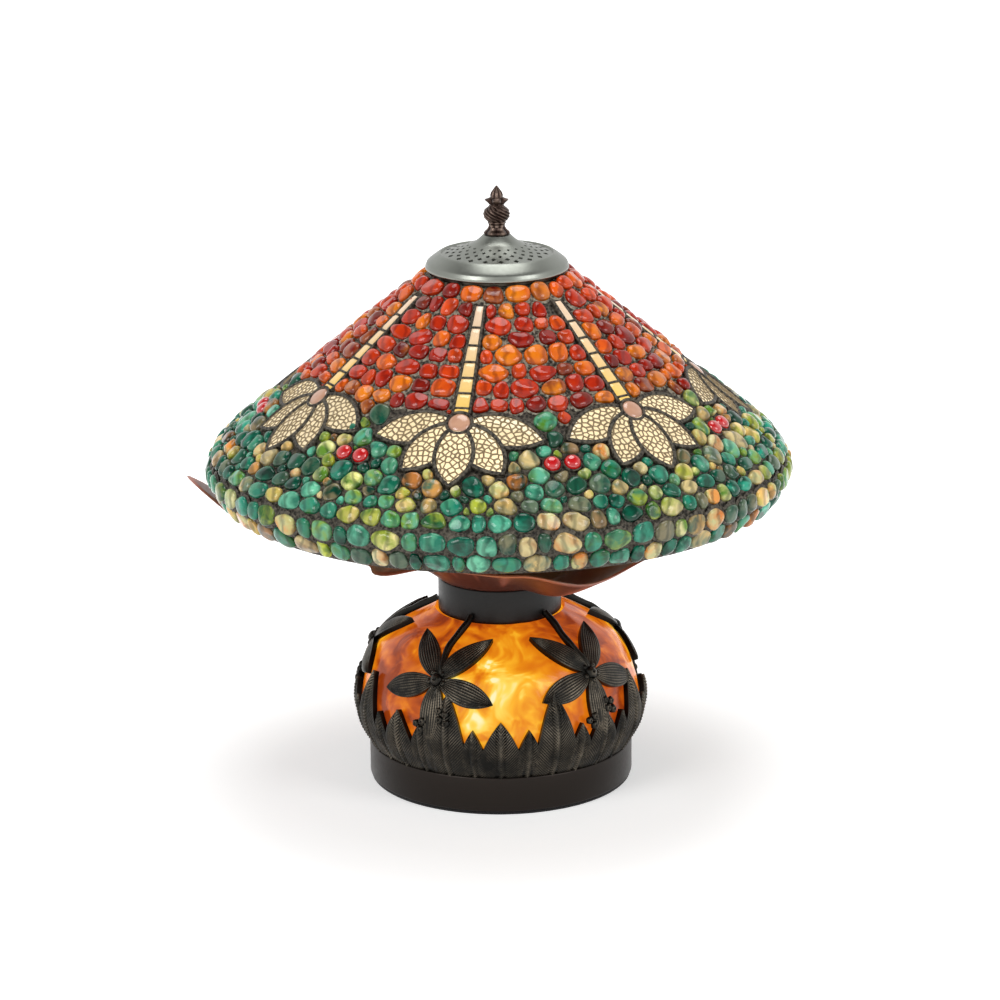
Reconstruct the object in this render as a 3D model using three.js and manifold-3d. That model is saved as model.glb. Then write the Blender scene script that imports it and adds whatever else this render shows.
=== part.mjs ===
// A leaded-glass table lamp on a lit base, in millimetres, +Z up, standing on z = 0.
// A pierced metal casting holds a blown amber bowl on a round foot. A tube through the bowl carries
// a ruffled metal dish, two lamp sockets and the rod that the conical shade hangs from.
import * as THREE from "three";
import { mergeVertices } from "three/addons/utils/BufferGeometryUtils.js";
import Module from "manifold-3d";

const wasm = await Module();
wasm.setup();

// Fits and facets shared by the whole lamp
const seatGap = 0.3;
const slideGap = 0.6;
const cutOverrun = 5;
const roundSides = 32;
const midSides = 24;
const shadeSides = 42;
const smallSides = 12;
const turn = 2 * Math.PI;
const quarter = Math.PI / 2;

// Centre tube
const pipeRadius = 5;
const pipeBore = 3.5;
const pipeClearance = 0.3;

// Foot
const footRadius = 94;
const footHeight = 27.4;
const footWall = 3.2;
const footBevel = 1.4;
const feltThickness = 2;
const feltInset = 1;
const cordHoleRadius = 4.6;
const cordHoleHeight = 12;

// Cord bush
const bushFlangeRadius = 7;
const bushFlangeDepth = 2;
const bushBore = 3;

// Ballast
const ballastRadius = 82;
const ballastThickness = 8;
const washerThickness = 1.4;
const washerRadius = 13;
const nutAcross = 8.4;
const nutHeight = 5;

// Bowl
const bowlRadius = 102.4;
const bowlHeight = 103.6;
const castingThickness = 3;
const glassThickness = 3;
const bowlShapeShares = [
  [0.895, 0], [0.98, 0.16], [1, 0.34], [0.93, 0.58], [0.78, 0.78], [0.47, 0.965],
];

// Neck ring
const neckRadius = 43.7;
const neckRingInner = 34;
const neckRingThickness = 5.6;

// Pierced casting
const frondCount = 16;
const frondWidth = 34;
const tallFrond = 60;
const shortFrond = 42;
const bottomBand = 8;
const topBandShare = 0.93;
const blossomCount = 5;
const blossomShare = 0.64;
const petalCount = 5;
const petalLength = 46;
const petalWidth = 18;
const stemWidth = 3.6;

// Neck collar
const collarHeight = 16;
const collarWall = 2.4;

// Leaf dish
const dishThickness = 2.2;
const dishRadiusShare = 0.81;
const dishHeadroom = 9.5;
const dishSag = 15;
const dishFullness = 2.2;
const dishSides = 54;
const dishRings = 5;
const curlSlope = 0.72;
const longLobe = { azimuth: 3.025, halfWidth: 0.19, reach: 56 };
const shortLobe = { azimuth: -2.094, halfWidth: 0.14, reach: 20 };
// Reach, rise and sag of the dish's edge, counter-clockwise from the long lobe
const dishEdgeShares = [
  [1, 1, 0], [0.93, 0.9, 0], [0.87, 0.9, 0], [0.8, 0.9, 0], [0.7, 0.72, 0.5],
  [0.73, 0.52, 0.9], [0.76, 0.72, 0.3], [0.82, 0.95, 0], [0.84, 0.74, 0.1], [0.88, 1, 0],
  [0.84, 0.7, 0.2], [0.9, 1, 0], [0.87, 0.72, 0.2], [0.9, 1, 0], [0.93, 0.78, 0.1],
];

// Socket cluster
const clusterRadius = 15;
const clusterHeight = 30;
const clusterBevel = 3;
const bossRadius = 7;
const bossLength = 22;
const socketTilt = THREE.MathUtils.degToRad(32);
const rodRadius = 4;
const rodSeatDepth = 6;

// Lamp sockets
const socketRadius = 17;
const socketLength = 46;
const socketWall = 1.6;
const socketFloor = 8;
const keyBossRadius = 5;
const keyBossLength = 6;
const keyPlaceShare = 0.3;

// Key shaft
const keyShaftRadius = 2;
const keyShaftSink = 5;
const keyThumbWidth = 13;
const keyThumbLength = 15;
const keyThumbThickness = 2.6;

// Bulbs
const capRadius = 13;
const capLength = 25;
const bulbRadius = 25;
const bulbNeckRadius = 12;
const bulbLength = 62;
const bulbShapeShares = [
  [0, 0], [0.48, 0], [0.5, 0.14], [0.7, 0.36], [0.95, 0.55], [1, 0.68], [0.88, 0.85], [0.5, 0.97], [0, 1],
];

// Base light
const nightOffset = 34;
const nightSocketRadius = 11;
const nightSocketHeight = 26;
const nightBulbRadius = 12;
const nightBulbHeight = 40;
const bracketThickness = 1.6;
const bracketWidth = 16;

// Shade outline
const shadeRadius = 210;
const shadeHeight = 165;
const shadeClearance = 58;
const stoneHeight = 4.6;
const bedThickness = 1.2;
const shellThickness = 2.6;
const crownRadius = 50;
const rimRadiusShare = 0.924;
const brimRadiusShare = 0.938;
const brimShare = 0.27;
const widestShare = 0.15;

// Flower stems
const flowerCount = 7;
const flowerTurnShare = 0.79;
const flowerRadiusShare = 0.711;
const stemHeadroom = 14;
const stemWide = 10;
const stemNarrow = 5;
const inlayThickness = 2.6;
const inlayRest = 0.4;
const inlayGap = 0.5;

// Flower petals
const fanLength = 51;
const fanSideLength = 58;
const fanWidth = 27;
const fanAngle = THREE.MathUtils.degToRad(42);
const fanHeart = 9;
const petalFullness = 0.26;
const petalSteps = 3;

// Jewels
const jewelRadius = 6;
const jewelSpacing = 14;
const jewelCircleShare = 0.843;
const jewelHeight = 4.4;
const jewelSides = 6;
const jewelPlateWidth = 15;
const jewelPlateLength = 29;
const jewelPlateThickness = 1.2;

// Stone skins
const stonePitch = 19;
const solderLine = 2;
const stoneRidgeShare = 0.44;
const stoneVary = 0.3;
const fieldRows = 5;
const gapRowCount = 54;
const rimRowCount = 64;
const petalReach = 9;
const rimShare = 0.04;

// Rim bead
const beadRadius = 2.2;
const beadSides = 5;

// Top ring
const topRingWidth = 5;
const topRingDepth = 9;
const lipThickness = 1.6;
const lipOverhang = 2.5;
const ledgeWidth = 2;

// Spider
const spiderArms = 4;
const spiderArmWidth = 7;
const spiderThickness = 2.4;
const spiderHubRadius = 12;

// Rod and seat nut
const seatNutAcross = 9;
const seatNutHeight = 6;
const finialBoreDepth = 12;

// Heat cap
const coverRadius = 50;
const coverWall = 1.6;
const coverHem = 2.2;
const coverRise = 24.6;
const foldRadius = 38;
const foldRise = 11.5;
const throatRadius = 18;
const throatRise = 18.3;
const coverSeatRadius = 9.5;
const pierceRows = 4;
const piercesPerRow = 12;
const pierceFirst = 20.5;
const pierceLast = 34.5;
const pierceShare = 0.058;

// Finial
const finialHeight = 34.2;
const finialSides = 16;
const finialShape = [
  { r: 8.3, h: 0, lobes: 6, depth: 0.04 },
  { r: 8.6, h: 0.03, lobes: 6, depth: 0.06 },
  { r: 6.6, h: 0.1, lobes: 6, depth: 0.06 },
  { r: 5.4, h: 0.19, lobes: 6, depth: 0.04 },
  { r: 6.6, h: 0.26, lobes: 8, depth: 0.04 },
  { r: 8.4, h: 0.34, lobes: 8, depth: 0.05 },
  { r: 8.7, h: 0.42, lobes: 8, depth: 0.05 },
  { r: 8.1, h: 0.5, lobes: 8, depth: 0.05 },
  { r: 5.6, h: 0.58, lobes: 8, depth: 0.03 },
  { r: 5.2, h: 0.64, lobes: 4, depth: 0.1 },
  { r: 5.7, h: 0.71, lobes: 4, depth: 0.24 },
  { r: 4.5, h: 0.75, lobes: 4, depth: 0.12 },
  { r: 3.9, h: 0.83, lobes: 8, depth: 0.06 },
  { r: 2.3, h: 0.92, lobes: 8, depth: 0.05 },
];

// A geometry as a closed solid, with its faces pointing out.
function solid(geometry) {
  const bare = geometry.index ? geometry.toNonIndexed() : geometry.clone();
  for (const name of Object.keys(bare.attributes)) {
    if (name !== "position") bare.deleteAttribute(name);
  }
  const merged = mergeVertices(bare);
  const triVerts = new Uint32Array(merged.index.array);
  const vertProperties = merged.attributes.position.array;
  const made = new wasm.Manifold(new wasm.Mesh({ numProp: 3, vertProperties, triVerts }));
  if (made.volume() > 0) return made;
  for (let i = 0; i < triVerts.length; i += 3) {
    [triVerts[i + 1], triVerts[i + 2]] = [triVerts[i + 2], triVerts[i + 1]];
  }
  return new wasm.Manifold(new wasm.Mesh({ numProp: 3, vertProperties, triVerts }));
}

// A solid as a geometry that a mesh can show.
function shown(body) {
  const mesh = body.getMesh();
  const count = mesh.vertProperties.length / mesh.numProp;
  const position = new Float32Array(count * 3);
  for (let i = 0; i < count; i++) {
    for (let k = 0; k < 3; k++) position[3 * i + k] = mesh.vertProperties[mesh.numProp * i + k];
  }
  const geometry = new THREE.BufferGeometry();
  geometry.setAttribute("position", new THREE.BufferAttribute(position, 3));
  geometry.setIndex(new THREE.BufferAttribute(new Uint32Array(mesh.triVerts), 1));
  geometry.computeVertexNormals();
  return geometry;
}

function union(bodies) {
  return bodies.reduce((whole, body) => whole.add(body));
}

// A profile of [radius, height] pairs turned about the z axis.
function turned(profile, sides = roundSides) {
  const closed = profile[0][0] === 0 ? profile : [...profile, profile[0]];
  const points = closed.map(([radius, height]) => new THREE.Vector2(radius, height));
  return new THREE.LatheGeometry(points, sides).rotateX(quarter);
}

// A plain ring or washer between two radii and two heights.
function ring(inner, outer, low, high, sides = roundSides) {
  return turned([[inner, low], [outer, low], [outer, high], [inner, high]], sides);
}

// A plain disc or rod between two heights.
function disc(radius, low, high, sides = roundSides) {
  return turned([[0, low], [radius, low], [radius, high], [0, high]], sides);
}

// A flat outline pushed out along its own +Z and then placed.
function prism(shape, depth, place, curveSteps = 5) {
  const options = { depth, bevelEnabled: false, curveSegments: curveSteps };
  return solid(new THREE.ExtrudeGeometry(shape, options).applyMatrix4(place));
}

// The outward normal of the stretch of a rising profile that starts at one point.
function normalAfter(profile, i) {
  const start = Math.min(Math.max(i, 0), profile.length - 2);
  const [r0, z0] = profile[start];
  const [r1, z1] = profile[start + 1];
  const length = Math.hypot(r1 - r0, z1 - z0);
  return [(z1 - z0) / length, (r0 - r1) / length];
}

// The same profile moved square to each stretch by a distance, out when it is positive.
function offset(profile, distance) {
  return profile.map(([radius, height], i) => {
    const before = normalAfter(profile, i - 1);
    const after = normalAfter(profile, i);
    const reach = distance / (1 + before[0] * after[0] + before[1] * after[1]);
    return [radius + reach * (before[0] + after[0]), height + reach * (before[1] + after[1])];
  });
}

// The wall between two offsets of one rising profile.
function wall(profile, inner, outer, sides = roundSides) {
  return turned([...offset(profile, outer), ...offset(profile, inner).reverse()], sides);
}

// A pointed leaf or petal, from its root at the origin to its tip on +Y.
function leafOutline(length, width, fullness = 0.3) {
  const shape = new THREE.Shape();
  const low = length * fullness;
  const high = length - low;
  shape.moveTo(0, 0);
  shape.bezierCurveTo(width * 0.62, low, width * 0.66, high, 0, length);
  shape.bezierCurveTo(-width * 0.66, high, -width * 0.62, low, 0, 0);
  return shape;
}

// A frond: broad where it leaves the band, drawn in to a point like a lancet arch.
function frondOutline(length, width) {
  const shape = new THREE.Shape();
  shape.moveTo(-width / 2, 0);
  shape.quadraticCurveTo(-width * 0.47, length * 0.62, 0, length);
  shape.quadraticCurveTo(width * 0.47, length * 0.62, width / 2, 0);
  return shape;
}

// A frame lying on a surface of revolution: +Y runs up the surface, +Z points out of it.
function surfaceFrame(azimuth, radius, height, tilt, spin = 0, sink = 0) {
  const side = new THREE.Vector3(-Math.sin(azimuth), Math.cos(azimuth), 0);
  const level = new THREE.Vector3(Math.cos(azimuth), Math.sin(azimuth), 0);
  const out = level.clone().applyAxisAngle(side, -tilt);
  const up = out.clone().cross(side);
  const centre = level.multiplyScalar(radius).setZ(height).addScaledVector(out, -sink);
  const frame = new THREE.Matrix4().makeBasis(side, up, out).setPosition(centre);
  return frame.multiply(new THREE.Matrix4().makeRotationZ(spin));
}

const lamp = new THREE.Group();

function material(color, roughness, metalness, opacity = 1) {
  return new THREE.MeshStandardMaterial({ color, roughness, metalness, opacity, transparent: opacity < 1 });
}

const darkBronze = material(0x2b2521, 0.45, 0.8);
const castBronze = material(0x33302b, 0.55, 0.8);
const amberGlass = material(0xf08a12, 0.2, 0, 0.9);
const copperBrown = material(0x8a4a36, 0.4, 0.7);
const brass = material(0xb08d4a, 0.35, 0.9);
const steel = material(0x8d8f90, 0.4, 0.9);
const blackFelt = material(0x191919, 0.95, 0);
const blackPlastic = material(0x141414, 0.5, 0);
const frostedGlass = material(0xf4efe2, 0.35, 0, 0.9);
const leadGrey = material(0x5b5850, 0.6, 0.6);
const redAgate = material(0xd2401c, 0.2, 0);
const greenAgate = material(0x3c8f66, 0.2, 0);
const creamGlass = material(0xf1dfae, 0.3, 0);
const redGlass = material(0xc02015, 0.1, 0);
const pewter = material(0x8f9490, 0.35, 0.9);
const agedBronze = material(0x4a403a, 0.4, 0.9);

function add(name, geometry, finish) {
  const mesh = new THREE.Mesh(geometry.isBufferGeometry ? geometry : shown(geometry), finish);
  mesh.name = name;
  lamp.add(mesh);
  return mesh;
}

// Centre tube: a steel lamp pipe that every part of the base is threaded on and clamped by
const pipeHole = pipeRadius + pipeClearance;

// Foot: a spun dark bronze drum with a felt pad under it
const footBottom = feltThickness + seatGap;
const footInner = footRadius - footWall;
const footCeiling = footHeight - footWall;

function foot() {
  const drum = turned([
    [pipeHole, footCeiling],
    [footInner, footCeiling],
    [footInner, footBottom],
    [footRadius, footBottom],
    [footRadius, footHeight - footBevel],
    [footRadius - footBevel, footHeight],
    [pipeHole, footHeight],
  ]);
  const depth = footWall + 2 * cutOverrun;
  const hole = new THREE.CylinderGeometry(cordHoleRadius, cordHoleRadius, depth, smallSides);
  hole.translate(0, footRadius - footWall / 2, cordHoleHeight);
  return solid(drum).subtract(solid(hole));
}

add("foot_shell", foot(), darkBronze);
add("felt_pad", disc(footRadius - feltInset, 0, feltThickness), blackFelt);

// Cord bush: a black snap-in bush in the back of the foot, with its bore for the flex
const bushNeckRadius = cordHoleRadius - seatGap;

function cordBush() {
  const outerFace = footRadius + seatGap;
  const innerFace = Math.sqrt(footInner ** 2 - bushFlangeRadius ** 2) - seatGap;
  const profile = [
    [bushBore, innerFace - bushFlangeDepth],
    [bushNeckRadius + footWall / 4, innerFace - bushFlangeDepth],
    [bushNeckRadius + footWall / 4, innerFace],
    [bushNeckRadius, innerFace],
    [bushNeckRadius, outerFace],
    [bushFlangeRadius, outerFace],
    [bushFlangeRadius, outerFace + bushFlangeDepth / 2],
    [bushFlangeRadius - bushFlangeDepth / 2, outerFace + bushFlangeDepth],
    [bushBore, outerFace + bushFlangeDepth],
  ];
  return turned(profile, smallSides).rotateX(-quarter).translate(0, 0, cordHoleHeight);
}

add("cord_bush", cordBush(), blackPlastic);

// Ballast: a cast iron disc clamped under the foot's top by a washer and a nut
const nutHole = pipeHole / Math.cos(turn / 12);
const ballastTop = footCeiling - seatGap;
const ballastBottom = ballastTop - ballastThickness;
const lowerWasherBottom = ballastBottom - seatGap - washerThickness;
const lowerNutBottom = lowerWasherBottom - seatGap - nutHeight;
const lowerWasherTop = lowerWasherBottom + washerThickness;
const lowerNutTop = lowerNutBottom + nutHeight;

add("foot_ballast", ring(pipeHole, ballastRadius, ballastBottom, ballastTop, midSides), leadGrey);
add("foot_washer", ring(pipeHole, washerRadius, lowerWasherBottom, lowerWasherTop, smallSides), steel);
add("foot_nut", ring(nutHole, nutAcross, lowerNutBottom, lowerNutTop, 6), steel);

// Bowl: the pear-shaped outline that the casting and the glass inside it share
const bowlBottom = footHeight + seatGap;
const bowlTop = bowlBottom + bowlHeight;
const bowlProfile = bowlShapeShares.map(([r, h]) => [r * bowlRadius, bowlBottom + h * bowlHeight]);

// Height and outward lean of the bowl's surface at a share of its height.
function bowlAt(share) {
  const curve = bowlShapeShares;
  const i = Math.max(1, curve.findIndex(([, h]) => h >= share));
  const [r0, h0] = curve[i - 1];
  const [r1, h1] = curve[i];
  const mix = (share - h0) / (h1 - h0);
  return {
    radius: (r0 + (r1 - r0) * mix) * bowlRadius,
    height: bowlBottom + share * bowlHeight,
    tilt: Math.atan2((r0 - r1) * bowlRadius, (h1 - h0) * bowlHeight),
  };
}

// Bowl glass: blown amber glass that fills the casting
function bowlGlass() {
  const outer = -(castingThickness + seatGap);
  const body = solid(wall(bowlProfile, outer - glassThickness, outer, midSides));
  const top = bowlTop - neckRingThickness - seatGap;
  return body.intersect(solid(disc(bowlRadius + cutOverrun, bowlBottom, top, midSides)));
}

add("bowl_glass", bowlGlass(), amberGlass);

// Pierced casting: fronds rise from the bottom band, blossoms hang between them and the neck ring
// that the collar seats on, and stems tie the two together, so that the glass shows in the gaps
function lace() {
  const skin = solid(wall(bowlProfile, -castingThickness, 0, midSides));
  const reach = bowlRadius;
  const pieces = [];
  for (let i = 0; i < frondCount; i++) {
    const length = i % 2 ? tallFrond : shortFrond;
    const at = surfaceFrame((i * turn) / frondCount, 0, bowlBottom, 0);
    pieces.push(prism(frondOutline(length, frondWidth), reach + cutOverrun, at, 3));
  }
  for (let i = 0; i < blossomCount; i++) {
    const azimuth = ((i + 0.35) * turn) / blossomCount;
    const { radius, height, tilt } = bowlAt(blossomShare);
    for (let k = 0; k < petalCount; k++) {
      const at = surfaceFrame(azimuth, radius, height, tilt, ((k + 0.5) * turn) / petalCount, petalWidth);
      pieces.push(prism(leafOutline(petalLength, petalWidth), 2 * petalWidth, at, 2));
    }
    const stem = new THREE.Shape();
    stem.moveTo(-stemWidth / 2, 0);
    stem.lineTo(stemWidth / 2, 0);
    stem.lineTo(stemWidth / 2, bowlHeight);
    stem.lineTo(-stemWidth / 2, bowlHeight);
    pieces.push(prism(stem, reach + cutOverrun, surfaceFrame(azimuth, 0, bowlBottom, 0)));
  }
  const far = bowlRadius + cutOverrun;
  pieces.push(solid(disc(far, bowlBottom - cutOverrun, bowlBottom + bottomBand, midSides)));
  pieces.push(solid(disc(far, bowlBottom + topBandShare * bowlHeight, bowlTop + cutOverrun, midSides)));
  const shoulder = bowlProfile[bowlProfile.length - 1][0];
  const neckRing = ring(neckRingInner, shoulder, bowlTop - neckRingThickness, bowlTop, midSides);
  return skin.intersect(union(pieces)).add(solid(neckRing));
}

add("pierced_casting", lace(), castBronze);

// Neck collar: a plain dark cup that caps the bowl and carries the dish
const collarBottom = bowlTop + seatGap;
const collarTop = collarBottom + collarHeight;

const collar = turned([
  [pipeHole, collarTop - collarWall],
  [neckRadius - collarWall, collarTop - collarWall],
  [neckRadius - collarWall, collarBottom],
  [neckRadius, collarBottom],
  [neckRadius, collarTop],
  [pipeHole, collarTop],
], midSides);
add("neck_collar", collar, darkBronze);

// Leaf dish: one sheet of copper-brown metal raised into a ruffled lily leaf under the shade
const shadeBottom = collarTop + shadeClearance;
const rimRadius = rimRadiusShare * shadeRadius;
const dishBottom = collarTop + seatGap;
const dishTop = dishBottom + dishThickness;
const dishRise = shadeBottom - dishHeadroom - dishTop;
const dishRadius = dishRadiusShare * shadeRadius;

// How far a lobe reaches beyond the plain edge at one azimuth.
function lobeReach(azimuth, { azimuth: centre, halfWidth, reach }) {
  const away = Math.abs(((azimuth - centre + 5 * Math.PI) % turn) - Math.PI);
  return away < halfWidth ? (reach * (1 + Math.cos((Math.PI * away) / halfWidth))) / 2 : 0;
}

// The edge's shares at one azimuth, eased from each entry of the table to the next.
function dishEdge(azimuth) {
  const count = dishEdgeShares.length;
  const place = (((azimuth + 3 * Math.PI) % turn) * count) / turn;
  const before = dishEdgeShares[Math.floor(place) % count];
  const after = dishEdgeShares[(Math.floor(place) + 1) % count];
  const mix = (1 - Math.cos(Math.PI * (place % 1))) / 2;
  return before.map((share, k) => share + (after[k] - share) * mix);
}

// The dish's upper surface at a share of the way from the collar out to the edge. It rises like a
// bowl, sags in front, and its long lobe passes under the shade's rim and curls up outside it.
function dishPoint(azimuth, share) {
  const [reachShare, riseShare, sagShare] = dishEdge(azimuth);
  const edge = reachShare * dishRadius;
  const tip = edge + lobeReach(azimuth, longLobe) + lobeReach(azimuth, shortLobe);
  const radius = neckRadius + (tip - neckRadius) * share;
  const way = Math.min((radius - neckRadius) / (edge - neckRadius), 1);
  const rise = dishRise * riseShare * (1 - (1 - way) ** dishFullness);
  const sag = dishSag * sagShare * Math.sin(Math.PI * way);
  const curl = curlSlope * Math.max(radius - rimRadius, 0);
  return { radius, height: dishTop + rise - sag + curl };
}

function leafDish() {
  const rows = [];
  for (const side of [1, -1]) {
    const shares = [...Array(dishRings + 1).keys()].map((k) => k / dishRings);
    if (side < 0) shares.reverse();
    const drop = side > 0 ? 0 : dishThickness;
    const hub = (row) => row.push({ radius: () => pipeHole, height: () => dishTop - drop });
    if (side > 0) hub(rows);
    for (const share of shares) {
      rows.push({
        radius: (a) => dishPoint(a, share).radius,
        height: (a) => dishPoint(a, share).height - drop,
      });
    }
    if (side < 0) hub(rows);
  }
  const position = [];
  const index = [];
  for (let i = 0; i < dishSides; i++) {
    const azimuth = (i * turn) / dishSides;
    for (const row of rows) {
      const radius = row.radius(azimuth);
      position.push(radius * Math.cos(azimuth), radius * Math.sin(azimuth), row.height(azimuth));
    }
  }
  const count = rows.length;
  for (let i = 0; i < dishSides; i++) {
    for (let k = 0; k < count; k++) {
      const a = i * count + k;
      const b = i * count + ((k + 1) % count);
      const c = ((i + 1) % dishSides) * count + ((k + 1) % count);
      const d = ((i + 1) % dishSides) * count + k;
      index.push(a, b, c, a, c, d);
    }
  }
  const geometry = new THREE.BufferGeometry();
  geometry.setAttribute("position", new THREE.Float32BufferAttribute(position, 3));
  geometry.setIndex(index);
  return solid(geometry);
}

add("leaf_dish", leafDish(), copperBrown);

// Dish washer and nut: they clamp the dish and the collar down on the bowl
const upperWasherBottom = dishTop + seatGap;
const upperWasherTop = upperWasherBottom + washerThickness;
const upperNutBottom = upperWasherTop + seatGap;
const upperNutTop = upperNutBottom + nutHeight;

add("dish_washer", ring(pipeHole, washerRadius, upperWasherBottom, upperWasherTop, smallSides), brass);
add("dish_nut", ring(nutHole, nutAcross, upperNutBottom, upperNutTop, 6), brass);

// Socket cluster: a cast brass body screwed on the tube, with a boss for each socket
const clusterBottom = upperNutTop + seatGap;
const clusterMiddle = clusterBottom + clusterHeight / 2;
const clusterTop = clusterBottom + clusterHeight;
const pipeTop = clusterMiddle - bossRadius - pipeClearance;

// Where one socket goes: what stands on the z axis is leaned over to lie on the socket's own.
function socketPlace(side) {
  const lean = new THREE.Matrix4().makeRotationY(side * (quarter - socketTilt));
  return lean.setPosition(0, 0, clusterMiddle);
}

function cluster() {
  const bevel = clusterBevel;
  let body = solid(turned([
    [0, clusterBottom],
    [clusterRadius - bevel, clusterBottom],
    [clusterRadius, clusterBottom + bevel],
    [clusterRadius, clusterTop - 2 * bevel],
    [clusterRadius - 2 * bevel, clusterTop],
    [0, clusterTop],
  ], smallSides));
  for (const side of [-1, 1]) {
    body = body.add(solid(disc(bossRadius, 0, bossLength, smallSides).applyMatrix4(socketPlace(side))));
  }
  const below = disc(pipeHole, clusterBottom - cutOverrun, pipeTop + pipeClearance, smallSides);
  const seat = clusterTop - rodSeatDepth;
  const above = disc(rodRadius + pipeClearance, seat, clusterTop + cutOverrun, smallSides);
  return body.subtract(solid(below)).subtract(solid(above));
}

const pipeBottom = lowerNutBottom - washerThickness;

add("centre_pipe", ring(pipeBore, pipeRadius, pipeBottom, pipeTop, smallSides), steel);
add("socket_cluster", cluster(), brass);

// Lamp sockets: a turned brass shell with a side boss for the turn key, one on each side
const socketStart = bossLength + seatGap;
const socketMouth = socketStart + socketLength;
const keyHeight = socketStart + socketLength * keyPlaceShare;
const keyFace = socketRadius + keyBossLength;

// Lays what stands on the z axis towards the front, so that both keys are reached from there.
function keyAxis(geometry) {
  return geometry.rotateX(quarter);
}

function socketShell(side) {
  const bevel = socketFloor / 2;
  const shell = solid(turned([
    [0, socketStart],
    [socketRadius - bevel, socketStart],
    [socketRadius, socketStart + bevel],
    [socketRadius, socketMouth],
    [socketRadius - socketWall, socketMouth],
    [socketRadius - socketWall, socketStart + socketFloor],
    [0, socketStart + socketFloor],
  ], smallSides));
  const boss = keyAxis(disc(keyBossRadius, socketRadius - socketWall / 2, keyFace, smallSides));
  const holeFloor = keyFace - keyShaftSink - seatGap;
  const hole = keyAxis(disc(keyShaftRadius + pipeClearance, holeFloor, keyFace + cutOverrun, smallSides));
  boss.translate(0, 0, keyHeight);
  hole.translate(0, 0, keyHeight);
  const whole = shell.add(solid(boss)).subtract(solid(hole));
  return shown(whole).applyMatrix4(socketPlace(side));
}

// Turn key: a short pin that turns in the side boss, with a flat thumb piece
function turnKey(side) {
  const thumbMiddle = keyFace + slideGap + keyThumbLength / 2;
  const shaft = disc(keyShaftRadius, keyFace - keyShaftSink, thumbMiddle, smallSides);
  const thumb = new THREE.Shape().absellipse(0, 0, keyThumbWidth / 2, keyThumbLength / 2, 0, turn);
  const options = { depth: keyThumbThickness, bevelEnabled: false, curveSegments: 6 };
  const blade = new THREE.ExtrudeGeometry(thumb, options).translate(0, 0, -keyThumbThickness / 2);
  blade.rotateX(quarter).translate(0, 0, thumbMiddle);
  const whole = solid(keyAxis(shaft)).add(solid(keyAxis(blade)));
  return shown(whole).translate(0, 0, keyHeight).applyMatrix4(socketPlace(side));
}

// Bulbs: a screw cap in the socket and a frosted glass envelope on it
const capBottom = socketStart + socketFloor + seatGap;
const envelopeBottom = Math.max(capBottom + capLength, socketMouth - capLength / 5) + seatGap;

function bulbCap(side) {
  const threads = 2;
  const profile = [
    [0, capBottom],
    [capRadius / 3, capBottom],
    [capRadius / 3, capBottom + capLength / 8],
    [capRadius * 0.85, capBottom + capLength / 5],
  ];
  for (let i = 0; i < threads; i++) {
    const start = capBottom + (capLength * (1 + i * (4 / threads))) / 5;
    profile.push([capRadius, start + capLength / 20]);
    profile.push([capRadius * 0.93, start + capLength / 8]);
  }
  profile.push([capRadius * 0.93, envelopeBottom - seatGap], [0, envelopeBottom - seatGap]);
  return turned(profile, smallSides).applyMatrix4(socketPlace(side));
}

function envelope(side) {
  const narrow = Math.min(1, bulbNeckRadius / (bulbShapeShares[1][0] * bulbRadius));
  const profile = bulbShapeShares.map(([r, h], i) => {
    return [r * bulbRadius * (i < 3 ? narrow : 1), envelopeBottom + h * bulbLength];
  });
  return turned(profile, smallSides).applyMatrix4(socketPlace(side));
}

for (const [name, side] of [["left", -1], ["right", 1]]) {
  add(`socket_${name}`, socketShell(side), brass);
  add(`turn_key_${name}`, turnKey(side), blackPlastic);
  add(`bulb_cap_${name}`, bulbCap(side), steel);
  add(`bulb_${name}`, envelope(side), frostedGlass);
}

// Base light: a small candle lamp on a bracket beside the tube, inside the amber bowl
const bracketTop = footHeight + seatGap + bracketThickness;
const nightSocketTop = bracketTop + seatGap + nightSocketHeight;

function nightBracket() {
  const strap = new THREE.Shape();
  const end = nightOffset + nightSocketRadius;
  strap.moveTo(0, -bracketWidth / 2);
  strap.lineTo(end, -bracketWidth / 2);
  strap.lineTo(end, bracketWidth / 2);
  strap.lineTo(0, bracketWidth / 2);
  strap.absarc(0, 0, bracketWidth / 2, quarter, 3 * quarter);
  const place = new THREE.Matrix4().makeTranslation(0, 0, footHeight + seatGap);
  const hole = disc(pipeHole, footHeight - cutOverrun, bracketTop + cutOverrun, smallSides);
  return prism(strap, bracketThickness, place).subtract(solid(hole));
}

const nightSocket = turned([
  [0, bracketTop + seatGap],
  [nightSocketRadius, bracketTop + seatGap],
  [nightSocketRadius, nightSocketTop],
  [nightSocketRadius * 0.7, nightSocketTop],
  [nightSocketRadius * 0.7, nightSocketTop - nightSocketHeight / 2],
  [0, nightSocketTop - nightSocketHeight / 2],
], smallSides).translate(nightOffset, 0, 0);

const nightBulbBottom = nightSocketTop - nightSocketHeight / 2 + seatGap;
const nightBulb = turned([
  [0, nightBulbBottom],
  [nightSocketRadius * 0.62, nightBulbBottom],
  [nightSocketRadius * 0.62, nightSocketTop + seatGap],
  [nightBulbRadius, nightSocketTop + nightBulbHeight * 0.35],
  [nightBulbRadius * 0.75, nightSocketTop + nightBulbHeight * 0.65],
  [0, nightSocketTop + nightBulbHeight],
], smallSides).translate(nightOffset, 0, 0);

add("base_light_bracket", nightBracket(), steel);
add("base_light_socket", nightSocket, blackPlastic);
add("base_light_bulb", nightBulb, frostedGlass);

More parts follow.
